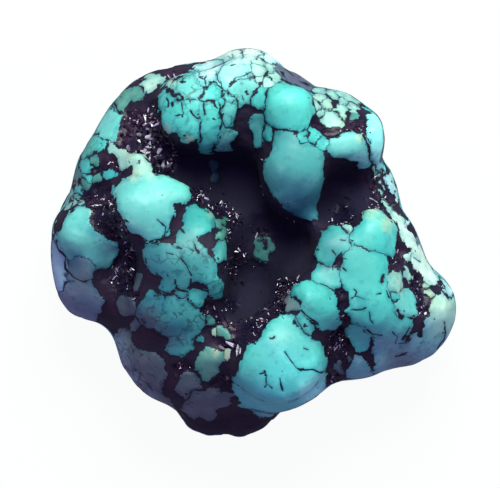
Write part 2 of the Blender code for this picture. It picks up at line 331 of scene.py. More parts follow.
# %% The right hand mass: peak, slope and corner
NODULES |= {
    "peak": ("sky", [
        (11.0, 3.0, .85), (11.2, 2.2, 1.15), (11.2, 1.0, 1.6), (10.4, .6, 1.3), (12.0, .3, 1.2),
        (12.3, 1.5, .8), (9.7, .4, .85), (11.6, -.1, .8), (12.6, -.4, .55)]),
    "upper_cell": ("sky", [
        (7.3, .8, .9), (6.9, .3, 1.0), (7.8, .0, .85), (8.2, -.1, .6), (6.6, -.6, 1.0), (6.4, -.9, .8),
        (7.0, -.9, .6), (7.8, 1.0, .6)]),
    "upper_bit": ("pale", [(8.4, 1.6, .3), (8.6, 1.4, .25)]),
    "low_cell": ("sky", [
        (6.3, -2.7, .75), (7.0, -2.9, .8), (7.3, -3.2, .75), (7.5, -2.8, .6), (5.9, -2.8, .45)]),
    "tip.slope": ("sky", [
        (9.5, -1.6, 1.3), (10.8, -1.8, 1.2), (11.5, -1.6, .85), (9.6, -2.9, 1.6), (10.4, -3.4, 1.4),
        (9.4, -3.9, 1.1), (11.0, -4.4, 1.2), (9.9, -4.4, 1.3), (10.7, -2.6, 1.1), (9.9, -5.5, 1.0),
        (11.2, -5.6, 1.4), (10.0, -6.5, 1.0), (11.6, -6.8, 1.4), (11.0, -7.3, 1.2), (12.0, -5.9, 1.0),
        (9.6, -6.3, .8), (12.6, -7.8, 1.0), (13.6, -7.7, .75), (14.1, -7.5, .5)]),
    "corner": ("sky", [
        (10.3, -9.3, .5), (9.4, -8.1, .85), (9.8, -8.6, .95), (9.9, -9.0, .7), (8.9, -8.1, .5),
        (10.2, -8.4, .6)]),
    "row_a": ("pale", [
        (12.7, -3.5, .6), (13.1, -3.6, .55), (13.2, -3.0, .3), (13.2, -2.6, .25), (12.5, -3.3, .4)]),
    "row_b": ("light", [
        (14.1, -4.8, .85), (14.1, -5.6, .95), (13.9, -5.4, .8), (14.4, -6.0, .7), (13.7, -4.9, .5)]),
    "row_c": ("sky", [(12.8, -4.7, .35)]),
    "row_d": ("pale", [(14.2, -2.4, .2), (14.3, -2.9, .28), (14.45, -3.3, .28)]),
    "row_e": ("pale", [(14.5, -1.2, .3)]),
    "ridge.top": ("cream", [
        (16.6, -2.8, .6), (16.7, -3.2, .35), (16.2, -2.2, .75), (15.6, -1.9, .7), (15.8, -1.4, .6),
        (15.5, -.9, .45), (15.2, -.4, .35), (14.8, .1, .35), (14.4, .6, .35), (14.0, 1.1, .4),
        (13.7, 1.6, .35), (13.3, 1.9, .3), (13.2, 2.5, .25)]),
    "tip.top": ("pale", [
        (18.5, -5.6, .6), (18.7, -6.6, .6), (18.6, -7.4, .6), (17.4, -5.3, .85), (17.0, -5.7, .8),
        (17.8, -5.9, .85), (17.5, -6.4, .9), (18.1, -6.8, .7), (17.4, -7.2, .9), (18.0, -7.9, .8),
        (17.2, -7.7, .8)]),
    "rim_sliver": ("frost", [
        (15.5, .3, .3), (16.3, -1.0, .35), (17.2, -2.2, .45), (18.0, -3.3, .5), (18.5, -4.3, .5),
        (14.4, 2.0, .3)]),
    # tip.low, the tip's underside and under_d take lilac: painted light, a paler blue that lifts the shaded
    # undersides
    "tip.low": ("painted_light_lilac", [(16.4, -7.3, .55), (16.3, -8.0, .5)]),
    "tip_bit_a": ("chalk", [(16.2, -3.7, .2)]),
    "tip_bit_b": ("chalk", [(16.5, -4.5, .25), (16.7, -4.7, .25), (16.3, -4.3, .2)]),
    "tip.under_a": ("painted_light_lilac", [
        (11.4, -9.6, .6), (11.5, -10.4, .5), (12.0, -9.4, .9), (13.2, -9.0, .8), (12.6, -10.2, 1.1),
        (13.0, -11.2, 1.0), (11.9, -11.2, .7), (13.9, -10.6, 1.0), (14.4, -11.2, .7), (12.4, -12.0, .8)]),
    "tip.under_b": ("painted_light_lilac", [
        (15.2, -9.0, .8), (16.2, -9.0, .8), (15.4, -10.0, 1.0), (16.6, -9.6, .8), (15.4, -10.8, .8),
        (16.6, -10.4, .8), (17.3, -9.4, .5)]),
    "tip.under_c": ("painted_light_lilac", [(18.3, -8.9, .8), (17.9, -9.7, .8), (18.6, -8.0, .6)]),
    "under_d": ("painted_light_lilac", [
        (9.8, -10.8, .5), (9.9, -11.4, .6), (10.0, -12.0, .7), (9.3, -12.0, .4), (10.4, -12.2, .7),
        (10.9, -12.7, .6)]),
    "under_e": ("slate", [(8.0, -11.4, .25), (8.05, -10.9, .2), (8.1, -11.8, .2)]),
    "under_f": ("slate", [(9.1, -10.7, .2)]),
    "strand_a": ("frost", [(12.7, 6.2, .35), (12.9, 5.6, .3), (13.1, 5.1, .25)]),
    "strand_b": ("frost", [(13.6, 5.0, .2), (13.7, 4.5, .2), (13.8, 4.0, .2)]),
    "strand_c": ("pale", [(11.2, 6.9, .12), (11.5, 6.3, .13), (11.9, 5.7, .12), (12.2, 5.1, .1)]),
    "strand_d": ("pale", [(11.7, 7.0, .1), (12.2, 6.5, .1)]),
    "strand_e": ("pale", [(11.9, 4.9, .12), (12.3, 4.3, .12), (12.8, 3.7, .12), (13.2, 3.3, .1)]),
    "ridge.strand": ("pale", [
        (12.3, 3.9, .2), (12.7, 3.4, .2), (13.1, 2.9, .2), (13.5, 2.5, .2), (13.9, 2.2, .2)]),
}

# %% The bean and the big knob
NODULES |= {
    "bean": ("sky", [
        (4.3, -4.3, .65), (5.0, -4.5, 1.05), (5.6, -5.1, 1.3), (6.1, -5.8, 1.5), (6.6, -6.5, 1.3),
        (7.0, -7.1, .9), (3.7, -4.4, .35), (5.9, -4.7, .9), (5.1, -5.6, .95)]),
    "bean_grey": ("ash", [(3.3, -5.2, .5), (3.6, -5.7, .4)]),
    "bean_sliver": ("sky", [(4.2, -6.6, .35), (4.6, -7.0, .45), (4.9, -7.5, .5), (5.0, -7.8, .35)]),
    "knob": ("sky", [
        (2.9, -7.2, .9), (2.6, -8.0, 1.3), (2.2, -9.2, 1.9), (3.6, -9.2, 1.4), (1.0, -10.4, 1.7),
        (3.2, -10.6, 2.4), (5.0, -10.2, 1.7), (4.4, -9.6, 1.3), (.6, -11.8, 2.2), (3.0, -12.4, 2.6),
        (5.2, -11.3, 1.6), (4.6, -12.9, 2.0), (.3, -13.2, 2.2), (2.6, -13.8, 2.2), (5.2, -13.2, 1.6),
        (5.8, -12.6, 1.0), (-.2, -14.2, 1.3), (2.0, -15.0, 1.3), (4.0, -14.6, 1.2), (.8, -15.2, .9)]),
}

# %% The middle
NODULES |= {
    "middle.round": ("lake", [(-5.4, 2.4, 1.2), (-4.7, 2.1, 1.1), (-5.6, 1.3, 1.0), (-6.2, .6, .9)]),
    "dot": ("sky", [(-7.8, 1.1, .3)]),
    # the middle and lower masses take teal, a darker tone, partly as painted shade where they face away
    # from the key light
    "middle.left": ("teal", [
        (-9.2, -1.1, 1.1), (-8.3, -1.1, 1.2), (-8.5, -2.1, 1.0), (-7.4, -1.9, 1.2), (-7.3, -2.9, .9),
        (-7.8, -.8, .8)]),
    "middle.right": ("teal", [
        (-5.9, -.3, .9), (-5.2, -1.2, 1.0), (-4.6, -.6, .6), (-4.8, -2.0, 1.0), (-4.2, -1.9, .7),
        (-4.3, -2.9, .9), (-3.9, -3.6, .9), (-3.4, -4.3, .8), (-3.2, -4.8, .55), (-3.0, -3.6, .45),
        (-5.6, -2.6, .8)]),
    "middle.low": ("teal", [(-6.6, -3.5, .75), (-6.3, -3.2, .7)]),
    "middle.far": ("teal", [(-7.9, -3.8, .6), (-8.2, -3.9, .45)]),
    "pea_a": ("lake", [(-5.3, -4.9, .7), (-5.1, -5.3, .5)]),
    "pea_b": ("teal", [(-6.7, -4.8, .45)]),
    "strip_a": ("green", [(-2.9, .8, .45), (-3.3, .7, .3), (-2.7, 1.2, .3)]),
    "strip_b": ("sea", [(-2.95, -.5, .5), (-3.0, -1.1, .5), (-2.8, -.1, .4)]),
    "strip_c": ("green", [(-3.0, 2.1, .3), (-2.6, 2.3, .2)]),
    "faint_a": ("murk", [(-3.55, 7.2, .42)]),
    "faint_b": ("murk", [(-3.7, 6.1, .38)]),
    "island": ("moss", [
        (.6, -1.0, .5), (.2, -1.1, .3), (1.1, -1.2, .45), (1.5, -.4, .45), (.6, -.2, .4), (1.6, .3, .3),
        (.5, .3, .25)]),
}

# %% The lower left slope
NODULES |= {
    # teal here too: partly painted shade on the lower left slope
    "lower.a": ("teal", [
        (-9.3, -5.6, .8), (-8.3, -5.6, 1.0), (-9.9, -6.2, .7), (-9.6, -6.9, .8), (-10.3, -6.9, .5),
        (-8.4, -6.8, 1.2), (-9.6, -4.6, .45)]),
    "lower.b": ("teal", [
        (-7.2, -5.8, .9), (-6.4, -5.6, .6), (-6.8, -6.8, 1.1), (-5.9, -6.4, .8), (-5.6, -7.2, .75),
        (-4.6, -7.2, .45)]),
    "lower.c": ("teal", [
        (-7.6, -7.8, 1.0), (-8.6, -7.6, .6), (-6.9, -8.0, .6), (-6.9, -8.9, .8), (-7.2, -9.5, .7),
        (-6.6, -9.8, .7), (-6.1, -9.5, .6)]),
    "lower.dot": ("teal", [(-5.9, -8.45, .45), (-5.5, -8.4, .35)]),
    "lower_dot": ("teal", [(-5.05, -8.9, .35)]),
    "lower_dot_c": ("green", [(-4.1, -7.2, .3), (-3.9, -7.3, .2)]),
    "lime_a": ("green", [(-2.9, -8.1, .22), (-3.15, -7.9, .18), (-2.65, -8.35, .16)]),
    "lime_b": ("chalk", [(-3.7, -8.1, .15)]),
    "lime_c": ("chalk", [(-2.35, -10.0, .25), (-2.35, -10.4, .22)]),
    "block": ("green", [
        (-4.3, -10.5, .85), (-3.6, -10.6, .75), (-4.6, -11.0, .7), (-4.2, -11.5, .85), (-3.8, -11.5, .6),
        (-4.5, -12.1, .45), (-3.2, -10.3, .35)]),
    "slate_a": ("slate", [(-11.9, -5.6, .75), (-11.6, -6.1, .6), (-11.8, -6.4, .4)]),
    "slate_b": ("slate", [(-11.1, -7.6, .35)]),
    "slate.c": ("slate", [
        (-12.0, -9.2, .8), (-11.6, -9.8, 1.0), (-11.0, -10.8, 1.0), (-10.3, -10.8, .8), (-12.1, -8.4, .6),
        (-12.7, -9.1, .7), (-12.3, -10.2, .8), (-11.9, -11.2, .8)]),
    "slate.d": ("slate", [(-9.2, -10.8, .7), (-8.9, -11.3, .7)]),
    "slate.e": ("slate", [
        (-10.6, -11.8, 1.0), (-9.8, -12.4, .9), (-9.9, -13.4, .9), (-9.2, -13.2, .7), (-11.4, -12.1, .8),
        (-10.9, -13.2, .8)]),
    "slate.f": ("slate", [(-9.0, -14.2, .8), (-8.9, -12.2, .6), (-8.4, -15.1, .7), (-9.8, -14.4, .6)]),
    "slate_g": ("slate", [
        (-5.9, -12.4, .6), (-5.7, -12.9, .6), (-6.4, -13.2, .5), (-5.4, -13.0, .4), (-6.8, -13.4, .45),
        (-6.3, -13.8, .4)]),
    "slate_h": ("slate", [
        (-4.0, -14.0, .6), (-5.2, -14.6, .9), (-4.1, -14.8, .9), (-3.0, -14.8, .7), (-5.6, -15.5, .8),
        (-4.2, -15.7, .7), (-6.2, -15.3, .5), (-2.6, -14.5, .4)]),
}
print("nodules on the face:", len(NODULES))

# %% [markdown]
# ## Sheltered places
# The tumbler rubbed only what it could reach: inside the hollow and the valleys the matrix kept its
# crumbly break, and on the outside it is worn smooth. Rays sent out from a point tell how much of the
# sky it sees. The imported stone's own few thousand points are enough for that, and each point of the
# skin asks the five nearest. Three measures come of it: `sheltered` is 1 where the tumbler hardly
# reached, `deep` is 1 at the bottom of the hollow, and `walls` is 1 on slopes that are sheltered or
# that face the middle of the stone, as the sides of a hollow do.

# %% How much of the sky each point sees
RAYS, RAY_SEED = 40, 3
RAY_START = 0.3 * MM
LOWEST_RAY = 0.1
ASKED = 5
SHELTER_SEES, DEEP_SEES = (0.55, 0.85), (0.30, 0.72)
WALL_TURN, WALL_SHELTER = (-0.05, 0.15), (0.1, 0.5)


def openness(node):
    mesh = node.data
    dice = np.random.default_rng(RAY_SEED)
    rays = dice.normal(size=(RAYS, 3))
    rays /= np.linalg.norm(rays, axis=1, keepdims=True)
    seats = KDTree(len(mesh.vertices))
    seen = np.empty(len(mesh.vertices))
    for k, vertex in enumerate(mesh.vertices):
        seats.insert(vertex.co, k)
        place, normal = skin_tree.find_nearest(vertex.co)[:2]
        start = place + normal * RAY_START
        outward = [Vector(ray) for ray in rays if Vector(ray).dot(normal) > LOWEST_RAY]
        seen[k] = sum(skin_tree.ray_cast(start, ray)[0] is None for ray in outward) / len(outward)
    seats.balance()
    around = [[k for _, k, _ in seats.find_n(Vector(point) * MM, ASKED)] for point in points]
    return seen[np.array(around)].mean(1)


sky = openness(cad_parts["nugget"])
sheltered = 1 - smoothstep(*SHELTER_SEES, sky)
deep = 1 - smoothstep(*DEEP_SEES, sky)
away_from_middle = (points[:, :2] * normals[:, :2]).sum(1) / np.linalg.norm(points[:, :2], axis=1)
walls = np.maximum(1 - smoothstep(*WALL_TURN, away_from_middle), smoothstep(*WALL_SHELTER, sheltered))
print("sheltered share of the skin:", sheltered.mean().round(2), "deep:", deep.mean().round(2))
print("sky, percentiles:", np.percentile(sky, (1, 5, 20, 50, 80)).round(2))

# %% [markdown]
# ## From circles to distances
# A point's distance to a nodule is its distance to the nearest of the nodule's circles, negative inside.
# On the face only x and y count, so a nodule runs down a slope as it does when seen from above. Where
# the stone turns over its edge the height counts too, so the nodule ends there instead of streaking
# down the side. A point far below a circle's own spot belongs to the foot of a cliff, and not to the
# nodule on top of it.

# %% Distance from every point to every nodule of the face
BLEND = 0.15
BLEND_REACH = 5
EDGE_TURN = (0.02, 0.28)
ABOVE_THE_STONE, RIM_HEIGHT = 40, 8.0
LEVEL_ON_SLOPES, LEVEL_ON_WALLS = 0.45, 0.55
CLIFF_DROP, CLIFF_PUSH = 1.1, 0.8


def height_at(x, y):
    """The skin's height below a circle, or the rim's where a circle hangs over the edge."""
    hit = skin_tree.ray_cast(Vector((x, y, ABOVE_THE_STONE)) * MM, Vector((0, 0, -1)))[0]
    return hit.z / MM if hit else RIM_HEIGHT


def lump(away):
    """Lumps add up, and the logarithm of the sum is a distance to all of them, melted into one."""
    return np.exp(-np.clip(away, -BLEND_REACH, BLEND_REACH) / BLEND)


def face_distances(where, facing):
    turned = 1 - smoothstep(*EDGE_TURN, facing)
    columns = []
    for _, circles in NODULES.values():
        near = np.zeros(len(where))
        for x, y, radius in circles:
            drop = where[:, 2] - height_at(x, y)
            level = drop * turned * (LEVEL_ON_SLOPES + LEVEL_ON_WALLS * walls)
            away = np.sqrt((where[:, 0] - x) ** 2 + (where[:, 1] - y) ** 2 + level**2) - radius
            away += CLIFF_PUSH * walls * np.maximum(-drop - CLIFF_DROP - 0.5 * radius, 0)
            near += lump(away)
        columns.append(-BLEND * np.log(near))
    return np.stack(columns, axis=1).astype(np.float32)


face = face_distances(shifted, normals[:, 2])
print("inside a nodule of the face:", round(float((face.min(1) < 0).mean()), 2), "of the skin")

# %% [markdown]
# ## The sides and the back
# Nobody counts the nodules there, so they are scattered: seeded random seats on the skin, each a ball
# with three smaller ones leaning on it, kept off the face.

# %% Scatter nodules over the sides and back
BACK_COUNT = 260
BACK_SEED = 7
SMALLEST, LARGER_BY, MOSTLY_SMALL = 0.8, 2.2, 1.8
SPACING = 0.74
LEANING_BALLS = 3
LEAN_OUT = 0.6
LEAN_SMALLEST, LEAN_LARGER_BY = 0.5, 0.3
FACE_TURN, WALL_FACING = (0.08, 0.32), (-0.5, -0.2)
KEPT_OFF_BY = 3.0


def face_side(facing):
    """1 on the face and on the walls of the hollow, 0 on the sides and the back."""
    return np.maximum(smoothstep(*FACE_TURN, facing), walls * smoothstep(*WALL_FACING, facing))


def back_seats(free, dice):
    kept = []
    for seat in dice.permutation(free):
        size = SMALLEST + LARGER_BY * dice.random() ** MOSTLY_SMALL
        if all(np.linalg.norm(points[seat] - points[other]) > SPACING * (size + wide)
               for other, wide in kept):
            kept.append((seat, size))
        if len(kept) == BACK_COUNT:
            break
    return kept


def back_distances(where, facing):
    dice = np.random.default_rng(BACK_SEED)
    on_the_face = face_side(facing)
    columns = []
    for seat, size in back_seats(np.flatnonzero(on_the_face < 0.5), dice):
        near = lump(np.linalg.norm(where - points[seat], axis=1) - size)
        for _ in range(LEANING_BALLS):
            lean = dice.normal(size=3)
            centre = points[seat] + LEAN_OUT * size * lean / np.linalg.norm(lean)
            wide = size * (LEAN_SMALLEST + LEAN_LARGER_BY * dice.random())
            near += lump(np.linalg.norm(where - centre, axis=1) - wide)
        columns.append(-BLEND * np.log(near))
    return (np.stack(columns, axis=1) + KEPT_OFF_BY * on_the_face[:, None]).astype(np.float32)


back = back_distances(shifted, normals[:, 2])
print("nodules on the sides and back:", back.shape[1])

# %% [markdown]
# ## Cracks inside the nodules
# Some nodules carry hairline cracks, stained dark by the host rock. Each is a short chain of points on
# the face and a half width. A crack is thinner than a face of the skin, so points alone can't hold it.

# %% The cracks that can be seen on the face
CRACKS = [
    # heart, and the vein below it
    (.06, [(-8.8, 2.2), (-8.1, 1.6), (-8.2, .5)]),
    (.12, [(-9.5, .1), (-9.0, .3), (-8.5, .35), (-8.2, .5), (-7.5, .4), (-7.4, .05)]),
    # plate and crown
    (.10, [(-13.1, 13.2), (-12.4, 12.2)]),
    (.12, [(-7.8, 14.3), (-7.4, 13.7), (-7.1, 13.65)]),
    (.11, [(-7.1, 13.8), (-6.8, 13.75), (-6.55, 13.4), (-6.5, 13.2)]),
    (.04, [(-6.7, 13.6), (-6.65, 13.0), (-6.6, 12.3), (-6.5, 11.9)]),
    (.07, [(-7.9, 13.3), (-7.8, 13.0), (-7.9, 12.5)]),
    (.10, [(-7.5, 13.0), (-7.45, 12.6)]),
    (.09, [(-5.85, 12.2), (-5.6, 11.9), (-5.3, 11.6), (-4.9, 11.45), (-4.75, 11.2)]),
    (.07, [(-4.75, 11.3), (-4.95, 10.9), (-4.95, 10.2), (-4.8, 9.6), (-5.0, 9.2)]),
    (.12, [(-5.05, 13.4), (-4.9, 13.1), (-4.5, 12.95), (-4.2, 13.15), (-3.9, 13.1), (-3.5, 13.05)]),
    (.07, [(-4.6, 12.9), (-4.65, 12.4), (-4.5, 12.0), (-4.4, 11.8)]),
    (.10, [(-3.6, 12.9), (-3.5, 12.5), (-3.4, 12.4)]),
    (.08, [(-3.2, 12.9), (-3.1, 12.6)]),
    (.06, [(-3.1, 12.1), (-2.9, 11.7), (-2.85, 11.2), (-2.7, 10.75), (-2.5, 10.6)]),
    (.07, [(-2.75, 10.6), (-2.4, 10.6), (-1.8, 10.65)]),
    (.09, [(-3.0, 14.9), (-2.9, 14.4), (-2.8, 13.9), (-2.9, 13.4)]),
    (.09, [(-5.0, 15.3), (-4.6, 15.1), (-4.45, 15.3), (-4.3, 15.5)]),
    (.09, [(-4.6, 15.1), (-4.4, 14.8), (-4.35, 14.5)]),
    (.06, [(-3.35, 15.7), (-3.3, 15.1), (-3.1, 14.8)]),
    (.05, [(-3.3, 15.6), (-3.1, 15.9), (-2.9, 16.3), (-2.75, 16.7), (-3.0, 17.1), (-3.6, 17.2),
           (-4.1, 17.3)]),
    (.07, [(-1.8, 15.05), (-1.5, 15.3), (-1.1, 15.5), (-.6, 15.7), (-.15, 15.85)]),
    (.08, [(-2.4, 17.4), (-2.2, 17.2), (-1.9, 17.3), (-2.0, 17.6)]),
    (.05, [(-5.2, 16.1), (-5.0, 15.7), (-4.9, 15.2)]),
    (.07, [(-6.6, 15.3), (-6.6, 14.9), (-6.3, 14.9)]),
    (.04, [(-7.2, 11.8), (-6.7, 11.8)]),
    (.05, [(-1.0, 13.6), (-.9, 13.2)]),
    (.05, [(-2.0, 12.9), (-1.7, 13.3)]),
    (.05, [(-1.1, 18.0), (-1.0, 17.2)]),
    (.09, [(-3.65, 9.1), (-3.6, 8.4)]),
    (.17, [(.3, 14.3), (.1, 13.8), (-.2, 13.4), (-.3, 13.1)]),
    (.08, [(.5, 14.9), (.5, 14.5), (.3, 14.2)]),
    # middle
    (.07, [(-6.6, -1.4), (-6.3, -1.8), (-6.1, -2.05), (-5.9, -2.4), (-5.6, -2.9)]),
    (.08, [(-5.35, -.1), (-5.3, -.5), (-5.05, -.9)]),
    (.04, [(-5.7, -.6), (-5.5, -.7)]),
    (.09, [(-5.7, -3.2), (-5.75, -3.8)]),
    (.13, [(-5.9, -4.3), (-5.5, -3.95), (-5.0, -3.8), (-4.3, -3.95)]),
    (.07, [(-7.2, -3.3), (-7.2, -3.6)]),
    (.09, [(-7.1, -4.0), (-6.6, -4.3), (-6.0, -4.5), (-6.0, -5.2), (-5.6, -5.6), (-5.2, -5.9)]),
    (.06, [(-8.9, -4.1), (-8.1, -4.5), (-7.3, -4.6)]),
    (.04, [(-8.0, -.9), (-7.3, -1.0)]),
    (.05, [(-7.0, -.2), (-6.6, -.5)]),
    (.22, [(-4.4, .8), (-3.6, 1.0)]),
    (.13, [(-4.9, .6), (-4.4, .8)]),
    (.20, [(-4.0, .2), (-4.1, -.8), (-3.8, -1.2)]),
    (.12, [(-3.8, -1.2), (-3.5, -1.6)]),
    (.16, [(-7.2, 2.6), (-7.4, 2.0), (-7.2, 1.6)]),
    (.09, [(-7.2, 1.6), (-6.7, 1.4), (-6.4, 1.1)]),
    (.07, [(-18.3, .4), (-18.2, -.5), (-17.5, -1.2), (-17.4, -2.4), (-16.8, -3.1), (-15.9, -3.5)]),
    (.08, [(-5.1, .6), (-4.6, .35)]),
    (.07, [(1.1, .5), (1.2, -.6)]),
    # peak, slope and tip
    (.05, [(8.0, .4), (8.45, .35)]),
    (.06, [(7.2, -.6), (7.5, -1.0)]),
    (.06, [(7.2, -2.0), (7.3, -2.4)]),
    (.06, [(7.6, -2.0), (7.7, -2.4)]),
    (.06, [(8.1, -2.2), (8.5, -2.45)]),
    (.05, [(9.0, -5.0), (9.5, -4.8), (10.1, -5.1)]),
    (.05, [(9.0, -6.1), (9.9, -6.0), (10.3, -5.85)]),
    (.05, [(11.2, -4.5), (11.6, -4.45)]),
    (.08, [(10.4, -7.8), (10.9, -8.3), (11.8, -8.4)]),
    (.10, [(12.2, -4.3), (12.5, -5.0)]),
    (.24, [(11.9, -2.8), (11.8, -3.6)]),
    (.22, [(13.3, -6.1), (13.7, -6.9)]),
    (.05, [(9.2, -4.1), (9.5, -4.4), (9.3, -4.9)]),
    (.04, [(10.6, -6.2), (10.7, -6.9), (11.0, -7.3)]),
    (.05, [(12.9, -8.2), (13.3, -8.6), (13.2, -9.2)]),
    (.07, [(14.9, -1.2), (15.2, -1.5), (15.5, -1.6)]),
    (.13, [(10.9, -8.7), (10.8, -9.5), (10.7, -10.0), (10.9, -10.8), (11.1, -11.8)]),
    (.09, [(14.5, -7.8), (14.2, -8.3), (13.8, -8.8)]),
    (.07, [(17.7, -7.2), (18.0, -8.2), (17.7, -9.0), (17.2, -9.8)]),
    (.08, [(13.5, -9.2), (14.3, -9.2), (14.6, -8.8)]),
    (.08, [(14.2, -10.2), (13.2, -10.5)]),
    (.20, [(15.3, -6.8), (15.5, -7.8), (15.4, -8.6)]),
    # bean and knob
    (.09, [(4.3, -6.1), (5.2, -6.9), (5.9, -7.4)]),
    (.06, [(3.8, -6.7), (4.2, -7.4), (4.8, -8.2)]),
    (.05, [(2.9, -9.8), (3.3, -10.5), (3.9, -11.4), (4.5, -11.5)]),
    (.11, [(4.0, -11.45), (4.6, -11.5)]),
    (.05, [(4.5, -11.5), (5.5, -11.6), (6.2, -11.9), (6.7, -11.8)]),
    (.10, [(6.1, -11.85), (6.4, -11.9)]),
    (.11, [(.5, -11.9), (.9, -11.8), (1.15, -12.2)]),
    (.09, [(.9, -11.6), (.95, -12.0)]),
    (.06, [(1.15, -12.2), (1.25, -12.9), (1.6, -13.15)]),
    (.06, [(1.25, -12.9), (1.0, -13.2)]),
    (.07, [(2.4, -12.3), (2.55, -13.0), (2.7, -13.5)]),
    (.07, [(1.5, -8.6), (1.7, -8.7), (2.0, -8.5)]),
    (.05, [(4.6, -9.6), (4.95, -9.7)]),
    # shoulder
    (.12, [(10.1, 10.2), (10.6, 8.8), (10.9, 7.5)]),
]
print("cracks:", len(CRACKS))

# %% [markdown]
# ## Veins finer than a face
# A vein is where two nodules are equally near, or where a crack runs. We could cut finer and finer faces
# along it. Instead each corner of a face stores how far it lies to one side of the face's own vein or to
# the other. Between the corners that number passes zero exactly on the line, however thin the line is.

# %% Signed distance to the seam between two nodules
THIN_SEAM, WIDER_BY = 0.030, 0.050
SEAM_REACH = 0.6
NO_VEIN = 10.0


def corners_of(mesh):
    index = np.empty(len(mesh.loops), np.int32)
    mesh.loops.foreach_get("vertex_index", index)
    assert len(index) == 4 * len(mesh.polygons), "the remesh leaves only four sided faces"
    return index.reshape(-1, 4)


def families():
    """A number for each mass, shared by the nodules whose names agree before the dot."""
    masses = [name.split(".")[0] for name in NODULES] + list(range(back.shape[1]))
    numbers = {mass: k for k, mass in enumerate(dict.fromkeys(masses))}
    return np.array([numbers[mass] for mass in masses])


def seams(distances, quads):
    middle = sum(distances[quads[:, k]] for k in range(4)) / 4
    two = np.argpartition(middle, 2, axis=1)[:, :2]
    two.sort(axis=1)
    rows = np.arange(len(quads))
    gaps = [distances[quads[:, k], two[:, 0]] - distances[quads[:, k], two[:, 1]] for k in range(4)]
    far = np.maximum(middle[rows, two[:, 0]], middle[rows, two[:, 1]])
    chance = (two[:, 0] * 7919 + two[:, 1] * 104729) % 997 / 997
    width = THIN_SEAM + WIDER_BY * chance
    mass = family[two]
    no_seam = (far > SEAM_REACH) | (mass[:, 0] == mass[:, 1])
    return np.stack(gaps, 1) / 2 + NO_VEIN * no_seam[:, None], width


quads = corners_of(nugget.data)
family = families()
distances = np.hstack([face, back])
seam, seam_width = seams(distances, quads)
print("masses:", family.max() + 1)

# %% Signed distance to the nearest crack
CRACKED_FACING = 0.1
TAPER = 0.12
PAST_THE_END = 0.5
CRACK_WANDER, CRACK_WANDER_BY = 0.9, 0.12
SHOWS_WITHIN = 0.2


def crack_lines(where, quads, facing):
    pieces = [(a, b, half) for half, chain in CRACKS for a, b in zip(chain, chain[1:])]
    starts, ends, widths = (np.array(column) for column in zip(*pieces))
    middle = where[quads].mean(1)[:, :2]
    best, chosen = np.full(len(quads), FAR), np.zeros(len(quads), int)
    for k, (a, b) in enumerate(zip(starts, ends)):
        along = np.clip(((middle - a) @ (b - a)) / ((b - a) @ (b - a)), 0, 1)
        away = np.linalg.norm(middle - a - along[:, None] * (b - a), axis=1)
        nearer = away < best
        best[nearer], chosen[nearer] = away[nearer], k
    best[facing[quads].mean(1) < CRACKED_FACING] = FAR
    a, b = starts[chosen], ends[chosen]
    length = np.linalg.norm(b - a, axis=1)
    unit = (b - a) / length[:, None]
    corner = where[quads][:, :, :2] - a[:, None]
    side = corner[:, :, 0] * unit[:, None, 1] - corner[:, :, 1] * unit[:, None, 0]
    run = (corner * unit[:, None]).sum(2)
    over = np.maximum(np.maximum(-run, run - length[:, None]), 0)
    taper = np.clip(1 - over / TAPER, -1, 1)
    return side, np.where(taper > 0, widths[chosen][:, None], PAST_THE_END) * taper, best


crossing = wander(points, CRACK_WANDER, CRACK_WANDER_BY, seed=31)
crack, crack_width, crack_near = crack_lines(crossing, quads, normals[:, 2])
use_crack = (crack_near - crack_width.max(1)) < (np.abs(seam).mean(1) - seam_width)
print("faces that carry a crack:", int((use_crack & (crack_near < SHOWS_WITHIN)).sum()))

# %% The edge of the nodules and the vein of each face
GROWTH = 0.02
CLOSE_GAPS, GAP_WIDTH = 0.11, (0.10, 0.60)
CROWN_MIDDLE, CROWN_REACH = (-1.6, 16.6), (4.2, 2.4)
CROWN_VEINS = 0.55

nearest_two = np.partition(distances, 1, axis=1)[:, :2]
edge = nearest_two[:, 0] - GROWTH - CLOSE_GAPS * (1 - smoothstep(*GAP_WIDTH, nearest_two[:, 1]))
vein = np.where(use_crack[:, None], crack, seam)
vein_width = np.where(use_crack[:, None], crack_width, seam_width[:, None])
on_crown = np.abs(points[quads].mean(1)[:, :2] - CROWN_MIDDLE) < CROWN_REACH
vein_width = vein_width * np.where(on_crown.all(1), CROWN_VEINS, 1)[:, None]
print("turquoise share of the skin:", (edge < 0).mean().round(2))
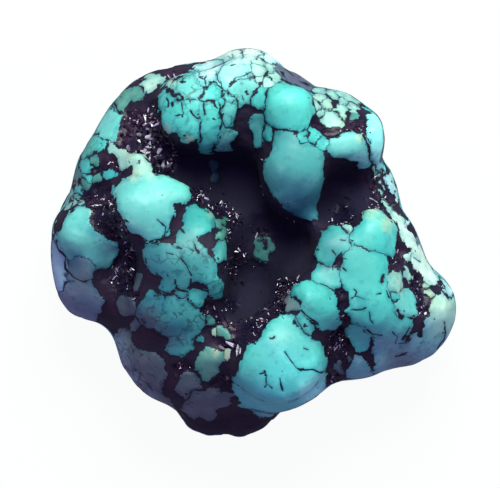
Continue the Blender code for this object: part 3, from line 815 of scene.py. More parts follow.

# %% [markdown]
# ## Where crystals grew and where the colour drifts
# Crystals line some stretches of the valleys, a few of them coarse, and leave the deep hollow bare, so
# its floor stays dull and is painted darker, partly as painted shade. And the turquoise is not the same
# all over: a few nodules turned chalky where air reached them. Many other tints are painted light and
# shade: darker, bluer ones where a slope turns from the key light, and paler ones that lift shaded sides
# and edges. All these are soft round patches: x, y, radius. A tint also says how soft and how strong it is.

# %% Beds of crystals and the bare hollow
BEDS = [
    (-11.5, 10.5, 2.2), (-10.0, 8.8, 1.8), (-8.2, 7.5, 1.4), (-9.5, 11.8, 1.2), (-12.6, 7.4, 1.0),
    (-14.2, 6.8, 1.0), (-14.6, 4.6, 1.6), (-14.0, 2.6, 1.2), (-13.0, 1.0, 1.3), (-12.3, -1.0, 1.2),
    (-11.8, -3.5, 1.4), (-5.0, 4.8, .9), (-2.8, 3.4, .9), (-1.5, 2.4, .8), (-2.1, .8, .6), (-1.2, -1.2, .4),
    (-1.6, -5.4, .6), (-4.3, -6.2, .9), (-3.2, -7.4, 1.0), (-2.0, -8.2, 1.3), (-.4, -7.8, 1.2),
    (.6, -7.0, 1.0), (2.2, -5.2, 1.2), (2.6, -4.3, 1.0), (3.2, -3.6, .6), (-2.4, -9.3, 1.2),
    (-3.0, -13.3, .8), (-6.6, -11.8, .8), (1.0, .6, .7), (6.5, 10.6, .9), (8.0, 10.3, .9), (9.6, 11.2, 1.1),
    (8.2, 2.6, 1.1), (7.5, -1.9, .5), (7.6, -4.4, .9), (8.3, -6.2, .9), (8.3, -8.6, 1.1), (7.7, -10.6, 1.2),
    (7.4, -12.2, .8), (12.8, -2.1, .6), (13.7, -1.2, 1.1), (13.9, -3.2, .5), (15.6, -4.2, 1.1),
    (15.5, -6.0, 1.0), (12.2, 5.0, 1.2), (11.6, 3.9, .8), (-7.0, 15.4, .6), (-11.4, -4.8, .6),
]
THIN_BEDS = [(-1.3, -1.4, 1.5), (-1.8, 1.0, 1.0), (.9, -2.3, .7)]
THIN_BED_SHARE, BACK_BED_SHARE = .3, .6
BED_SOFT, COARSE_SOFT, FLOOR_SOFT = .5, .6, 1.2
PATCH_FACING = (-.1, .3)
COARSE_BEDS = [(-10.8, 9.9, 1.7), (-8.7, 7.7, 1.2), (-14.3, 6.9, .6), (-2.3, -9.3, .8)]
# patches of the hollow's floor, painted dull and darker, the darker partly as painted shade
BARE_SHADED_FLOOR = [(.2, -3.4, 2.8), (2.0, -1.0, 2.5), (-1.0, 3.0, 3.0), (9.0, 4.5, 2.0), (-2.4, -2.8, 1.2)]


def patches(spots, soft):
    total = np.zeros(len(points))
    for x, y, radius in spots:
        away = np.hypot(shifted[:, 0] - x, shifted[:, 1] - y) - radius
        total = np.maximum(total, 1 - smoothstep(-soft, soft, away))
    return total * smoothstep(*PATCH_FACING, normals[:, 2])


beds = np.maximum(patches(BEDS, BED_SOFT), BACK_BED_SHARE * sheltered * (normals[:, 2] < 0))
beds = np.maximum(beds, THIN_BED_SHARE * patches(THIN_BEDS, BED_SOFT))
coarse = patches(COARSE_BEDS, COARSE_SOFT)
bare_shaded_floor = patches(BARE_SHADED_FLOOR, FLOOR_SOFT)
print("under crystals:", beds.mean().round(3))

# %% Tinted spots
TINTS = [
    ("chalk", .8, .8, [(11.0, 3.5, .9), (12.2, 2.0, .5)]),
    ("chalk", .35, .75, [
        (-14.6, 2.9, .5), (-8.0, 10.4, .5), (-5.9, 9.4, .4), (-7.4, 15.2, .5), (12.8, -2.6, .5),
        (16.3, -5.0, .5), (16.2, -6.2, .5), (13.4, -3.9, .4), (-11.0, 6.6, .5), (-11.6, 8.6, .5),
        (6.9, 12.6, .4), (8.3, 11.4, .4), (-3.8, 2.9, .3), (9.9, 9.9, .4), (-3.5, -9.9, .4),
        (-16.6, 5.9, .3)]),
    # light and bright: painted light that lifts the knob's lower slope, which turns from the key light
    ("light", 2.0, .9, [(3.0, -10.0, 2.6)]),
    ("bright", 1.6, .9, [(5.0, -12.8, 2.2), (2.6, -12.4, 2.0)]),
    # deep: painted shade on the brow's lower half, which turns from the key light
    ("deep", 1.3, .85, [(-14.3, -2.3, 1.4), (-16.6, -1.6, .9)]),
    ("green", .8, .7, [(-15.3, 8.8, .8)]),
    ("lake", 1.6, .85, [(10.3, -2.2, 2.6), (5.6, -5.0, 1.8)]),
    ("teal", 1.2, .95, [(6.9, .1, 1.7)]),
    ("teal", 1.2, .6, [(6.8, -2.9, 1.2)]),
    # deep: painted shade on the tongue's lower half, which leans down into the hollow
    ("deep", 1.6, .85, [(4.4, 3.6, 2.4), (2.6, 5.4, .8)]),
    ("teal", .8, .9, [(-6.3, .5, .9)]),
    ("lake", .8, .8, [(-3.8, -3.8, 1.2)]),
    # deep: painted shade on the middle and the lower left, which face away from the key light
    ("deep", .9, .5, [(-9.2, -1.3, 1.0), (-9.6, -5.6, .9)]),
    # mist: painted light that lifts the shaded slates of the lower left
    ("painted_light_mist", .8, .5, [(-12.9, -9.6, 1.1), (-12.5, -11.2, .7), (-11.3, -12.8, .7), (-9.9, -14.5, .6)]),
    # glow: painted light on the knob's lower right and under the shoulder, which face away from the key
    # light
    ("glow", .9, .95, [(5.7, -13.6, 1.4), (9.9, 7.7, .7)]),
    # deep: more painted shade on the middle and the lower left
    ("deep", 1.2, .55, [(-8.6, -2.6, 1.3), (-9.7, -6.6, 1.3), (-7.4, -8.6, 1.6)]),
    # slate: painted shade, darker and greyer, on the lower left, the lobe's lower edge and under the tip
    ("slate", 1.2, .75, [
        (-9.9, -7.6, 1.5), (-15.8, -3.0, 1.0), (-14.4, -3.0, .9), (-8.4, -9.2, .8), (13.8, -11.2, 1.2)]),
]
print("tints:", len(TINTS))

# %% [markdown]
# ## Relief
# Tumbling wears the matrix faster than the nodules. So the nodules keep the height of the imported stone
# with their edges rounded down, the veins are shallow grooves, and the matrix is sunk and crumbly.
# Every move goes inwards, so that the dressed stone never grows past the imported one.

# %% Sink the matrix, round the nodules, groove the veins
EDGE_ROUND, EDGE_REACH = 0.09, 0.22
MATRIX_SINK, SINK_REACH = 0.22, 0.22
CRUMB_DEPTH, CRUMB_EDGE = 0.42, (0.02, 0.35)
LUMP_SIZE, LUMP_SHARE = 0.95, 0.6
PIT_SIZE, PIT_SHARE = 0.55, 0.6
ROUGH_OPEN, ROUGH_SHELTERED = 0.05, 0.20
KEPT_OPEN, KEPT_SHELTERED = 0.35, 0.65
VEIN_DEPTH, VEIN_REACH = 0.07, 0.14
THINNEST_VEIN = 0.01
GROOVED_TO = 0.05


def relief():
    inside = np.minimum(edge, 0)
    outside = np.maximum(edge, 0)
    rounded = EDGE_ROUND * np.exp(inside / EDGE_REACH)
    sunk = MATRIX_SINK * (1 - np.exp(-outside / SINK_REACH))
    lumps = 0.5 + 0.5 * noise(points, LUMP_SIZE, seed=51)
    pits = np.abs(noise(points, PIT_SIZE, seed=52))
    rough = np.maximum(ROUGH_OPEN + ROUGH_SHELTERED * sheltered, beds)
    kept = KEPT_OPEN + KEPT_SHELTERED * np.maximum(sheltered, beds)
    crumbs = CRUMB_DEPTH * (LUMP_SHARE * lumps + PIT_SHARE * pits) * rough * smoothstep(*CRUMB_EDGE, edge)
    groove = np.zeros(len(points))
    cut = VEIN_DEPTH * np.exp(-((np.abs(vein) / VEIN_REACH) ** 2)) * (vein_width > THINNEST_VEIN)
    np.maximum.at(groove, quads.ravel(), cut.ravel())
    return (rounded + sunk + groove * (edge < GROOVED_TO)) * kept + crumbs


def carve(mesh, depth):
    moved = (points - normals * depth[:, None]) * MM
    moved[:, 2] = np.maximum(moved[:, 2], 0.0)
    mesh.vertices.foreach_set("co", moved.astype(np.float32).ravel())
    mesh.update()
    mesh.shade_smooth()


depth = relief()
carve(nugget.data, depth)
print("carved up to", depth.max().round(2), "mm deep")

# %% [markdown]
# ## Colour words
# The words in the nodule lists stand for the tones of this stone. Sky is the plain fresh blue. Light,
# bright, mint and pale are paler, and frost, cream and chalk are weathered almost white; the cream on
# the crown's top edge is also painted rim light. Glow is painted light, a bright pale blue where light
# catches an edge or an underside. Lake, sea, teal and deep are darker, and teal and deep also stand for
# painted shade where a slope turns from the key light. Green and moss are its green bits. Dusk is
# painted shade, a violet blue for shaded sides, and mist and lilac are painted light, paler violet blues
# that lift shaded edges and undersides. Haze, ash, slate and murk are dirty with host rock, and slate is
# also painted shade on the lower left. The painted light and shade, the weathering and the dirt belong to
# the face, so where such a nodule turns under the rim it takes a plainer tone, which UNDER gives.

# %% The tones
# dusk is painted shade; mist, lilac and glow are painted light; teal, deep and slate double as painted
# shade
TONES = {
    "sky": (.068, .520, .410), "light": (.115, .520, .420), "pale": (.310, .620, .460),
    "chalk": (.400, .580, .360), "sea": (.062, .350, .300), "teal": (.042, .275, .245),
    "green": (.080, .300, .220), "deep": (.025, .130, .180), "painted_shade_dusk": (.105, .200, .245),
    "slate": (.070, .118, .128), "haze": (.100, .120, .165), "frost": (.430, .780, .680),
    "painted_light_lilac": (.140, .440, .420), "lake": (.050, .400, .325), "bright": (.090, .660, .560),
    "painted_light_mist": (.270, .540, .600), "cream": (.500, .770, .590), "glow": (.270, .930, .760),
    "murk": (.016, .060, .085), "mint": (.200, .580, .480), "ash": (.170, .175, .180),
    "moss": (.045, .220, .165),
}
# UNDER takes off the painted light and shade, the weathering and the dirt where a nodule turns under the
# rim
UNDER = {
    "painted_shade_dusk": "sky", "painted_light_mist": "sky", "painted_light_lilac": "sky", "glow": "light", "frost": "light", "cream": "light",
    "pale": "light", "slate": "green", "murk": "deep", "haze": "slate",
}
BACK_WORDS = ("sky", "sky", "sky", "deep", "green", "pale", "slate")
print("tones:", len(TONES))

# %% [markdown]
# ## Tones and crackle for every point
# Each point takes the tone of its nearest nodule, blended widely with the rest of its own mass and
# narrowly with its neighbours. The web number says how finely a nodule is crackled. Both are stored as
# attributes of the skin, because a material and a node tree can read those by name.

# %% Attributes of the skin
WEBBED = {
    "plate.left": .4, "plate_top": .5, "plate.middle": .45, "plate.low": .38, "plate_right": .5,
    "plate_far": .5, "crown.a": .4, "crown.b": .45, "crown.c": .35, "crown.d": .35, "lower.a": .5,
    "lower.b": .55, "lower.c": .5, "middle.left": .45, "middle.right": .5, "island": .8, "tip.slope": .15,
    "lobe_low": .3, "slate.c": .5, "slate.e": .6, "block": .2, "tip.under_a": .35, "tip.under_b": .4,
    "heart.body": .05, "heart.stem": .3, "rim_c": .4, "knob": .15, "peak": .15,
}
WEB_ELSEWHERE, WEB_ON_BACK = 0.1, 0.9
BLEND_IN_MASS, BLEND_ACROSS = 0.40, 0.12
UNDER_TURN = (-.30, .0)
SHELTERED_BED = .015


def blended(values):
    own_mass = family[None, :] == family[distances.argmin(1)][:, None]
    further = distances - distances.min(1, keepdims=True)
    near = np.exp(-further / np.where(own_mass, BLEND_IN_MASS, BLEND_ACROSS))
    return (near @ values) / near.sum(1, keepdims=True)


def tone_table(swaps):
    dice = np.random.default_rng(BACK_SEED + 1)
    words = [swaps.get(colour, colour) for colour, _ in NODULES.values()]
    words += [BACK_WORDS[dice.integers(len(BACK_WORDS))] for _ in range(back.shape[1])]
    web = [WEBBED.get(name, WEB_ELSEWHERE) for name in NODULES]
    web += list(dice.random(back.shape[1]) * WEB_ON_BACK)
    return np.column_stack([[TONES[word] for word in words], web])


def set_attribute(mesh, name, values, domain="POINT", kind="FLOAT"):
    layer = mesh.attributes.new(name, kind, domain)
    key = "color" if kind == "FLOAT_COLOR" else "value"
    layer.data.foreach_set(key, np.ascontiguousarray(values, np.float32).ravel())


table = blended(tone_table({}))
turned_under = 1 - smoothstep(*UNDER_TURN, normals[:, 2:])
table += turned_under * (blended(tone_table(UNDER)) - table)
for word, soft, strength, spots in TINTS:
    table[:, :3] += strength * patches(spots, soft)[:, None] * (np.array(TONES[word]) - table[:, :3])
opaque = np.ones(len(table))
for name, values in {
    "edge": edge, "web": table[:, 3], "beds": np.maximum(beds, SHELTERED_BED * sheltered),
    "coarse": coarse, "deep": np.maximum(deep, bare_shaded_floor),
}.items():
    set_attribute(nugget.data, name, values)
set_attribute(nugget.data, "tone", np.column_stack([table[:, :3], opaque]), kind="FLOAT_COLOR")
set_attribute(nugget.data, "vein", vein, domain="CORNER")
set_attribute(nugget.data, "vein_width", vein_width, domain="CORNER")
print("attributes:", [a.name for a in nugget.data.attributes if not a.name.startswith(".")])

# %% [markdown]
# ## A short way to write nodes
# A material is a graph. The first two helpers add a node, set its plain inputs and link the others, so
# that each finish below reads as a list of steps. The small ones after them name the nodes used most.

# %% Helpers for node graphs
def feed(tree, node, **inputs):
    for name, value in inputs.items():
        socket = node.inputs[int(name[1:]) if name[0] == "_" else name.replace("_", " ")]
        if isinstance(value, bpy.types.NodeSocket):
            tree.links.new(value, socket)
        else:
            socket.default_value = value


def add(tree, kind, out=0, settings=None, **inputs):
    made = tree.nodes.new(kind)
    for name, value in (settings or {}).items():
        setattr(made, name, value)
    feed(tree, made, **inputs)
    return made.outputs[out]


def calc(tree, operation, *values):
    return add(tree, "ShaderNodeMath", settings={"operation": operation},
               **{f"_{k}": value for k, value in enumerate(values)})


def times(tree, product, *factors):
    for factor in factors:
        product = calc(tree, "MULTIPLY", product, factor)
    return product


def ramp(tree, value, low, high, start=0.0, end=1.0, shape="SMOOTHSTEP"):
    return add(tree, "ShaderNodeMapRange", settings={"interpolation_type": shape},
               _0=value, _1=low, _2=high, _3=start, _4=end)


def mix_colours(tree, share, one, two, how="MIX"):
    return add(tree, "ShaderNodeMix", out=2, settings={"data_type": "RGBA", "blend_type": how},
               _0=share, _6=one, _7=two)


def tinted(tree, share, colour, by):
    return mix_colours(tree, share, colour, (*by, 1), "MULTIPLY")


def mix_numbers(tree, share, one, two):
    return add(tree, "ShaderNodeMix", settings={"data_type": "FLOAT"}, _0=share, _2=one, _3=two)


def speckle(tree, position, scale, **more):
    return add(tree, "ShaderNodeTexNoise", Vector=position, Scale=scale, **more)


def read(tree, name, out=2):
    return add(tree, "ShaderNodeAttribute", out=out, settings={"attribute_name": name})


def new_material(name):
    material = bpy.data.materials.new(name)
    material.use_nodes = True
    return material, material.node_tree, material.node_tree.nodes["Principled BSDF"]


# %% [markdown]
# ## Host rock, a finish for two pieces
# The matrix is a dark iron rich crumb: violet black, a shade redder in places, half glassy. The sunk
# ground and the crystals on it are two pieces with one finish, so the finish is a node group used by
# both materials.

# %% The host rock group
ROCK_BLACK = (.008, .007, .020, 1)
ROCK_REDDER = (.022, .011, .026, 1)
ROCK_GLINT = (.038, .040, .070, 1)
ROCK_GRAIN, CRYSTAL_GRAIN = 3000, 5000


def host_rock_group():
    group = bpy.data.node_groups.new("host_rock", "ShaderNodeTree")
    for name, kind in (("Position", "Vector"), ("Grain", "Float")):
        group.interface.new_socket(name, in_out="INPUT", socket_type="NodeSocket" + kind)
    for name, kind in (("Color", "Color"), ("Roughness", "Float"), ("Height", "Float")):
        group.interface.new_socket(name, in_out="OUTPUT", socket_type="NodeSocket" + kind)
    given = group.nodes.new("NodeGroupInput").outputs
    stain = speckle(group, given["Position"], 420.0, Detail=3.0)
    grain = speckle(group, given["Position"], given["Grain"], Detail=4.0, Roughness=.65)
    ground = mix_colours(group, ramp(group, stain, .42, .68), ROCK_BLACK, ROCK_REDDER)
    colour = mix_colours(group, ramp(group, grain, .60, .85, 0, .4), ground, ROCK_GLINT)
    feed(group, group.nodes.new("NodeGroupOutput"), Color=colour, Height=grain,
         Roughness=ramp(group, grain, .35, .70, .16, .40))
    return group


def rock_in(tree, position, grain=ROCK_GRAIN):
    rock = tree.nodes.new("ShaderNodeGroup")
    rock.node_tree = host_rock
    feed(tree, rock, Position=position, Grain=grain)
    return rock.outputs


host_rock = host_rock_group()
print("host rock outputs:", [s.name for s in host_rock.interface.items_tree if s.in_out == "OUTPUT"])

# %% [markdown]
# ## Where the skin is turquoise
# One material covers the skin. First it finds out from the attributes whether a spot is turquoise, vein
# or matrix. The attributes are smooth, so a little noise is added to them: it makes the edges ragged,
# lets the veins swell and thin out, and adds the hair cracks and flecks that are finer than the skin.

# %% The mask of clean turquoise
WEB_WARP = 0.6 * MM
EDGE_RAGGED, VEIN_RAGGED = .42, .17
HAIR_SHOWS = .95


def web_cracks(tree, position, amount):
    """A web of hair cracks from two sizes of cells, each shown in patches only."""
    warp = speckle(tree, position, 900.0, out=1, Detail=2.0)
    shifted_by = add(tree, "ShaderNodeVectorMath", settings={"operation": "SCALE"}, _0=warp, Scale=WEB_WARP)
    place = add(tree, "ShaderNodeVectorMath", settings={"operation": "ADD"}, _0=position, _1=shifted_by)
    lines = 0.0
    for size, thin, thick, rare in ((620.0, .015, .085, .46), (1300.0, .03, .12, .54)):
        cell = add(tree, "ShaderNodeTexVoronoi", settings={"feature": "DISTANCE_TO_EDGE"}, Vector=place,
                   Scale=size)
        patch = speckle(tree, position, size * .8, Detail=1.0)
        here = times(tree, ramp(tree, patch, rare, rare + .1), ramp(tree, cell, thin, thick, 1, 0))
        lines = calc(tree, "MAXIMUM", lines, here)
    return times(tree, lines, ramp(tree, amount, .2, .8))


def around_zero(tree, noise_value, amount):
    return times(tree, calc(tree, "SUBTRACT", noise_value, .5), amount)


def outlines(tree, position):
    """How far a spot lies outside its nodule, and how far beside the nearest vein."""
    ragged = speckle(tree, position, 1500.0, Detail=4.0, Roughness=.7)
    outside = calc(tree, "ADD", read(tree, "edge"), around_zero(tree, ragged, EDGE_RAGGED))
    jitter = speckle(tree, position, 2300.0, Detail=3.0, Roughness=.65)
    line = calc(tree, "ADD", read(tree, "vein"), around_zero(tree, jitter, VEIN_RAGGED))
    swell = ramp(tree, speckle(tree, position, 1100.0, Detail=2.0), .32, .70, .40, 1.5)
    width = times(tree, read(tree, "vein_width"), swell)
    return outside, calc(tree, "SUBTRACT", calc(tree, "ABSOLUTE", line), width)


def turquoise_mask(tree, position, outside, beside):
    """1 on clean turquoise, 0 on matrix and in veins, hair cracks and flecks."""
    nodule = ramp(tree, outside, -.02, .04, 1, 0)
    vein_free = ramp(tree, beside, -.04, .06)
    web = read(tree, "web")
    near_vein = times(tree, ramp(tree, beside, .0, .40, .25, .05), web)
    often = calc(tree, "ADD", ramp(tree, outside, -.9, -.1, 0, .06), near_vein)
    fleck = calc(tree, "ADD", speckle(tree, position, 1250.0, Detail=3.0, Roughness=.6), often)
    hair = calc(tree, "MAXIMUM", web_cracks(tree, position, web), ramp(tree, fleck, .715, .755))
    clean = calc(tree, "SUBTRACT", 1.0, times(tree, hair, HAIR_SHOWS))
    return times(tree, nodule, vein_free, clean)


# %% [markdown]
# ## Turquoise in its matrix
# Then each mineral gets its own colour, gloss and fine relief. Turquoise is never one flat blue: it is
# cloudy, a little paler where it weathered, darker towards its edges and veins, and blotched. The
# matrix is stained black close to a nodule, and dull where no crystals grew. In the deep hollow it is
# also painted darker, partly as painted shade.

# %% The material of the skin
PALER_CLOUD, PALER_MOTTLE = (1.7, 1.3, 1.3), (1.9, 1.3, 1.3)
BLUER_CLOUD = (.62, .80, .92)
EDGE_SHADE, VEIN_SHADE = (.45, .60, .68), (.48, .66, .78)
BLOTCH_SHADE = (.34, .46, .54)
# HOLLOW_BLACK darkens the hollow where little sky is seen: partly painted shade
HOLLOW_BLACK, STAIN_BLACK = (.008, .008, .024, 1), (.004, .006, .014, 1)
TURQUOISE_IOR = 1.36
NODULE_HEIGHT, BUMP_STRENGTH, BUMP_DEPTH = .8, .6, 0.12 * MM


def turquoise_colour(tree, position, cloud, outside, beside):
    mottle = speckle(tree, position, 620.0, Detail=4.0, Roughness=.6)
    speck = speckle(tree, position, 1350.0, Detail=3.0)
    colour = tinted(tree, ramp(tree, cloud, .48, .75, 0, .5), read(tree, "tone", out=0), PALER_CLOUD)
    colour = tinted(tree, ramp(tree, mottle, .50, .78, 0, .7), colour, PALER_MOTTLE)
    colour = tinted(tree, ramp(tree, cloud, .25, .48, .8, 0), colour, BLUER_CLOUD)
    colour = tinted(tree, ramp(tree, outside, -.45, .0, 0, .6), colour, EDGE_SHADE)
    colour = tinted(tree, ramp(tree, beside, .0, .32, .55, 0), colour, VEIN_SHADE)
    blotch = times(tree, ramp(tree, speck, .54, .70), ramp(tree, read(tree, "web"), 0, .7, .25, 1))
    return tinted(tree, blotch, colour, BLOTCH_SHADE)


def matrix_colour(tree, rock, outside):
    # the hollow darkens towards HOLLOW_BLACK where the point sees little sky: partly painted shade
    bare = mix_colours(tree, read(tree, "deep"), rock["Color"], HOLLOW_BLACK)
    return mix_colours(tree, ramp(tree, outside, -.05, .3, .85, 0), bare, STAIN_BLACK)


def turquoise_material():
    material, tree, surface = new_material("turquoise_and_matrix")
    position = add(tree, "ShaderNodeTexCoord", out=3)
    rock = rock_in(tree, position)
    outside, beside = outlines(tree, position)
    mask = turquoise_mask(tree, position, outside, beside)
    cloud = speckle(tree, position, 260.0, Detail=4.0, Roughness=.6)
    turquoise = turquoise_colour(tree, position, cloud, outside, beside)
    colour = mix_colours(tree, mask, matrix_colour(tree, rock, outside), turquoise)
    dull = ramp(tree, read(tree, "deep"), 0, 1, .66, .92)
    worn = mix_numbers(tree, read(tree, "beds"), dull, rock["Roughness"])
    rough = mix_numbers(tree, mask, worn, ramp(tree, cloud, .3, .7, .36, .50))
    ground = times(tree, calc(tree, "SUBTRACT", 1.0, mask), rock["Height"])
    height = calc(tree, "ADD", times(tree, mask, NODULE_HEIGHT), ground)
    bump = add(tree, "ShaderNodeBump", Strength=BUMP_STRENGTH, Distance=BUMP_DEPTH, Height=height)
    feed(tree, surface, Base_Color=colour, Roughness=rough, Normal=bump, IOR=TURQUOISE_IOR)
    return material


nugget.data.materials.append(turquoise_material())
print("material:", nugget.data.materials[0].name)

# %% [markdown]
# ## Crystals on the matrix
# Tiny glassy crystals stand on the host rock and flash when a face of one meets the light. Thousands of
# the same small thing on a surface is work for Geometry Nodes: spread points where the skin is matrix,
# put a twenty sided crumb on each, turned and stretched at random, and make the whole one mesh. In the
# coarse beds they are larger and fewer. A random few are painted pale grey, as painted glints that show
# from every side, and the coarse beds have a few more of them.

# %% Where crystals stand, and how large
NOT_ON_NODULES = (.12, .50)
ABOVE_THE_FLOOR = (0.8 * MM, 1.2 * MM)
SHORTEST, LONGEST = (.15, .12, .10), (1.5, .40, .30)
FULL_TURN = (6.28, 6.28, 6.28)
# coarse beds: larger, fewer, and more painted glints
COARSE_LARGER, COARSE_FEWER, COARSE_MORE_GLINTS = 1.6, -.5, .08


def stored(tree, name):
    return add(tree, "GeometryNodeInputNamedAttribute", settings={"data_type": "FLOAT"}, Name=name)


def crystal_crowd(tree, coarse_here):
    """A share from 0 to 1 of the full crowd: on matrix, in the beds, in patches, clear of the floor."""
    patch = add(tree, "ShaderNodeTexNoise", Scale=330.0, Detail=1.0)
    height = add(tree, "ShaderNodeSeparateXYZ", out=2, Vector=add(tree, "GeometryNodeInputPosition"))
    return times(
        tree, ramp(tree, stored(tree, "edge"), *NOT_ON_NODULES, shape="LINEAR"), stored(tree, "beds"),
        ramp(tree, height, *ABOVE_THE_FLOOR, shape="LINEAR"),
        calc(tree, "MULTIPLY_ADD", coarse_here, COARSE_FEWER, 1.0),
        ramp(tree, patch, .38, .60, .1, 1, shape="LINEAR"))


def random_between(tree, low, high):
    return add(tree, "FunctionNodeRandomValue", settings={"data_type": "FLOAT_VECTOR"}, _0=low, _1=high)


# %% The tree that grows them
def crystal_tree():
    tree = bpy.data.node_groups.new("matrix_crystals", "GeometryNodeTree")
    tree.interface.new_socket("Geometry", in_out="OUTPUT", socket_type="NodeSocketGeometry")
    for name, kind in (("Geometry", "Geometry"), ("Crystal size", "Float"), ("Crystals per area", "Float"),
                       ("Seed", "Int"), ("Finish", "Material")):
        tree.interface.new_socket(name, in_out="INPUT", socket_type="NodeSocket" + kind)
    given = tree.nodes.new("NodeGroupInput").outputs
    coarse_here = stored(tree, "coarse")
    density = times(tree, crystal_crowd(tree, coarse_here), given["Crystals per area"])
    spread = add(tree, "GeometryNodeDistributePointsOnFaces", Mesh=given["Geometry"], Density=density,
                 Seed=given["Seed"])
    larger = calc(tree, "MULTIPLY_ADD", coarse_here, COARSE_LARGER, 1.0)
    size = add(tree, "ShaderNodeVectorMath", settings={"operation": "SCALE"},
               _0=random_between(tree, SHORTEST, LONGEST), Scale=times(tree, given["Crystal size"], larger))
    # a random number for each crystal picks the few that are painted pale as glints
    chance = add(tree, "FunctionNodeRandomValue", out=1, settings={"data_type": "FLOAT"}, Seed=9)
    marked = add(tree, "GeometryNodeStoreNamedAttribute", Geometry=spread, Name="painted_glint",
                 Value=calc(tree, "MULTIPLY_ADD", coarse_here, COARSE_MORE_GLINTS, chance),
                 settings={"data_type": "FLOAT", "domain": "POINT"})
    crumb = add(tree, "GeometryNodeMeshIcoSphere", Radius=1.0, Subdivisions=1)
    placed = add(tree, "GeometryNodeInstanceOnPoints", Points=marked, Instance=crumb, Scale=size,
                 Rotation=random_between(tree, (0, 0, 0), FULL_TURN))
    real = add(tree, "GeometryNodeRealizeInstances", Geometry=placed)
    done = add(tree, "GeometryNodeSetMaterial", Geometry=real, Material=given["Finish"])
    feed(tree, tree.nodes.new("NodeGroupOutput"), Geometry=done)
    return tree


# %% Grow the crystals
CRYSTAL_SIZE = 0.34 * MM
CRYSTALS_PER_AREA = 18 / MM**2
CRYSTAL_SEED = 5
# pale grey on a random few crystals: painted glints
PAINTED_GLINT_FROM = (.86, .90)
PAINTED_GLINT_GREY = (.42, .43, .50, 1)
CRYSTAL_ROUGHNESS, CRYSTAL_IOR = .12, 1.9


def crystal_material():
    material, tree, surface = new_material("matrix_crystal")
    rock = rock_in(tree, add(tree, "ShaderNodeTexCoord", out=3), CRYSTAL_GRAIN)
    glint_colour = mix_colours(tree, ramp(tree, read(tree, "painted_glint"), *PAINTED_GLINT_FROM), rock["Color"], PAINTED_GLINT_GREY)
    feed(tree, surface, Base_Color=glint_colour, Roughness=CRYSTAL_ROUGHNESS, IOR=CRYSTAL_IOR)
    return material


def grow(ground):
    grown = new_object("matrix_crystals", ground.data.copy())
    growth = grown.modifiers.new("growth", "NODES")
    growth.node_group = crystal_tree()
    values = {"Crystal size": CRYSTAL_SIZE, "Crystals per area": CRYSTALS_PER_AREA, "Seed": CRYSTAL_SEED,
              "Finish": crystal_material()}
    for item in growth.node_group.interface.items_tree:
        if item.in_out == "INPUT" and item.name in values:
            growth[item.identifier] = values[item.name]
    grown.update_tag()
    apply_modifiers(grown)
    return grown


crystals = grow(nugget)
print("crystal faces:", len(crystals.data.polygons))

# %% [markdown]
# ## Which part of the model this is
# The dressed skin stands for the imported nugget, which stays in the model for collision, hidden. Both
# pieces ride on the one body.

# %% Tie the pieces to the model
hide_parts("nugget")
for piece in (nugget, crystals):
    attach(piece, "root")

# %% [markdown]
# ## Floor, light and camera
# The stone lies on its back on a white floor and the camera looks straight down at its face. The key
# light stands some fifty degrees high beyond the stone's top edge, so each nodule shades the hollow
# below it. A dim violet light overhead and a low one from the upper right soften the shadows. Those
# two are hidden from reflections, because one highlight on a polished stone reads as one window.
# The floor glows white to the camera and keeps a thin bright line round the stone. To the stone it is
# dim and violet, or it would light the nodules from below and wash out their colour.

# %% The floor
FLOOR_HALF = .6
FLOOR_GREY, FLOOR_ROUGHNESS = (.02, .02, .02, 1), .8
FLOOR_GLOW, DIM_FOR_LIGHT, DIM_FOR_MIRROR = .95, .30, .72
FLOOR_TO_STONE, FLOOR_TO_CAMERA = (.66, .58, 1, 1), (.985, 1, .992, 1)


def floor_material():
    material, tree, surface = new_material("pale_floor")
    ray = tree.nodes.new("ShaderNodeLightPath").outputs
    dimmed = calc(tree, "ADD", times(tree, ray["Is Diffuse Ray"], DIM_FOR_LIGHT),
                  times(tree, ray["Is Glossy Ray"], DIM_FOR_MIRROR))
    glow = calc(tree, "SUBTRACT", FLOOR_GLOW, dimmed)
    shade = mix_colours(tree, ray["Is Camera Ray"], FLOOR_TO_STONE, FLOOR_TO_CAMERA)
    feed(tree, surface, Base_Color=FLOOR_GREY, Roughness=FLOOR_ROUGHNESS, Emission_Color=shade,
         Emission_Strength=glow)
    return material


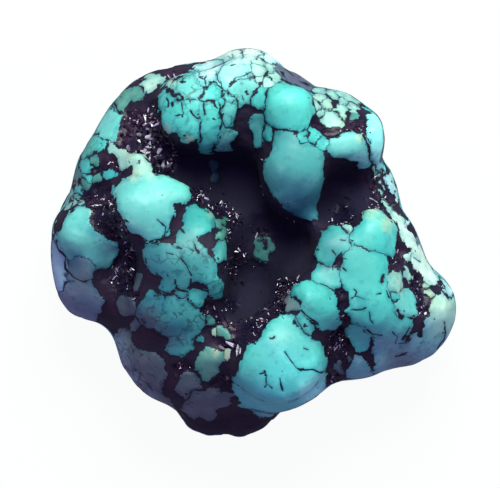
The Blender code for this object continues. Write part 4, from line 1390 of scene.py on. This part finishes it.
floor_mesh = bpy.data.meshes.new("floor")
floor_corners = [(x * FLOOR_HALF, y * FLOOR_HALF, 0) for x, y in ((-1, -1), (1, -1), (1, 1), (-1, 1))]
floor_mesh.from_pydata(floor_corners, [], [(0, 1, 2, 3)])
floor = new_object("floor", floor_mesh)
floor_mesh.materials.append(floor_material())
print("floor:", 2 * FLOOR_HALF, "m square")

# %% The lights
FACE_HEIGHT = 0.010
ROOM_VIOLET, ROOM_GLOW = (.72, .46, 1, 1), .34


def soft_light(name, place, size, watts, colour, mirrored=True):
    light = bpy.data.lights.new(name, "AREA")
    light.size, light.energy, light.color = size, watts, colour
    holder = new_object(name, light)
    holder.location = place
    holder.rotation_mode = "QUATERNION"
    holder.rotation_quaternion = (Vector((0, 0, FACE_HEIGHT)) - Vector(place)).to_track_quat("-Z", "Y")
    holder.visible_glossy = mirrored
    return holder


lights = [
    soft_light("key", (.03, .25, .32), .22, 2.45, (1, 1, .95)),
    soft_light("overhead", (0, -.03, .55), .25, .5, (.60, .36, 1), mirrored=False),
    soft_light("rim", (.30, .24, .07), .22, .85, (.85, 1, .95), mirrored=False),
]
world = bpy.data.worlds.new("soft_room")
bpy.context.scene.world = world
world.use_nodes = True
feed(world.node_tree, world.node_tree.nodes["Background"], Color=ROOM_VIOLET, Strength=ROOM_GLOW)
bpy.context.scene.view_settings.view_transform = "Standard"
print("lights:", [light.name for light in lights])

# %% The camera
PIXEL = 0.0934 * MM
HALF_FRAME_PIXELS, OFF_CENTRE_PIXELS = 250, -3.5
CAMERA_HEIGHT = 0.45
SENSOR_WIDTH = 36

camera = new_object("camera", bpy.data.cameras.new("camera"))
camera.location = (OFF_CENTRE_PIXELS * PIXEL, 0, CAMERA_HEIGHT)
camera.data.sensor_width = SENSOR_WIDTH
camera.data.lens = SENSOR_WIDTH / 2 / (HALF_FRAME_PIXELS * PIXEL / (CAMERA_HEIGHT - FACE_HEIGHT))
camera.data.clip_start = 0.01
bpy.context.scene.camera = camera
print("lens:", round(camera.data.lens), "mm")
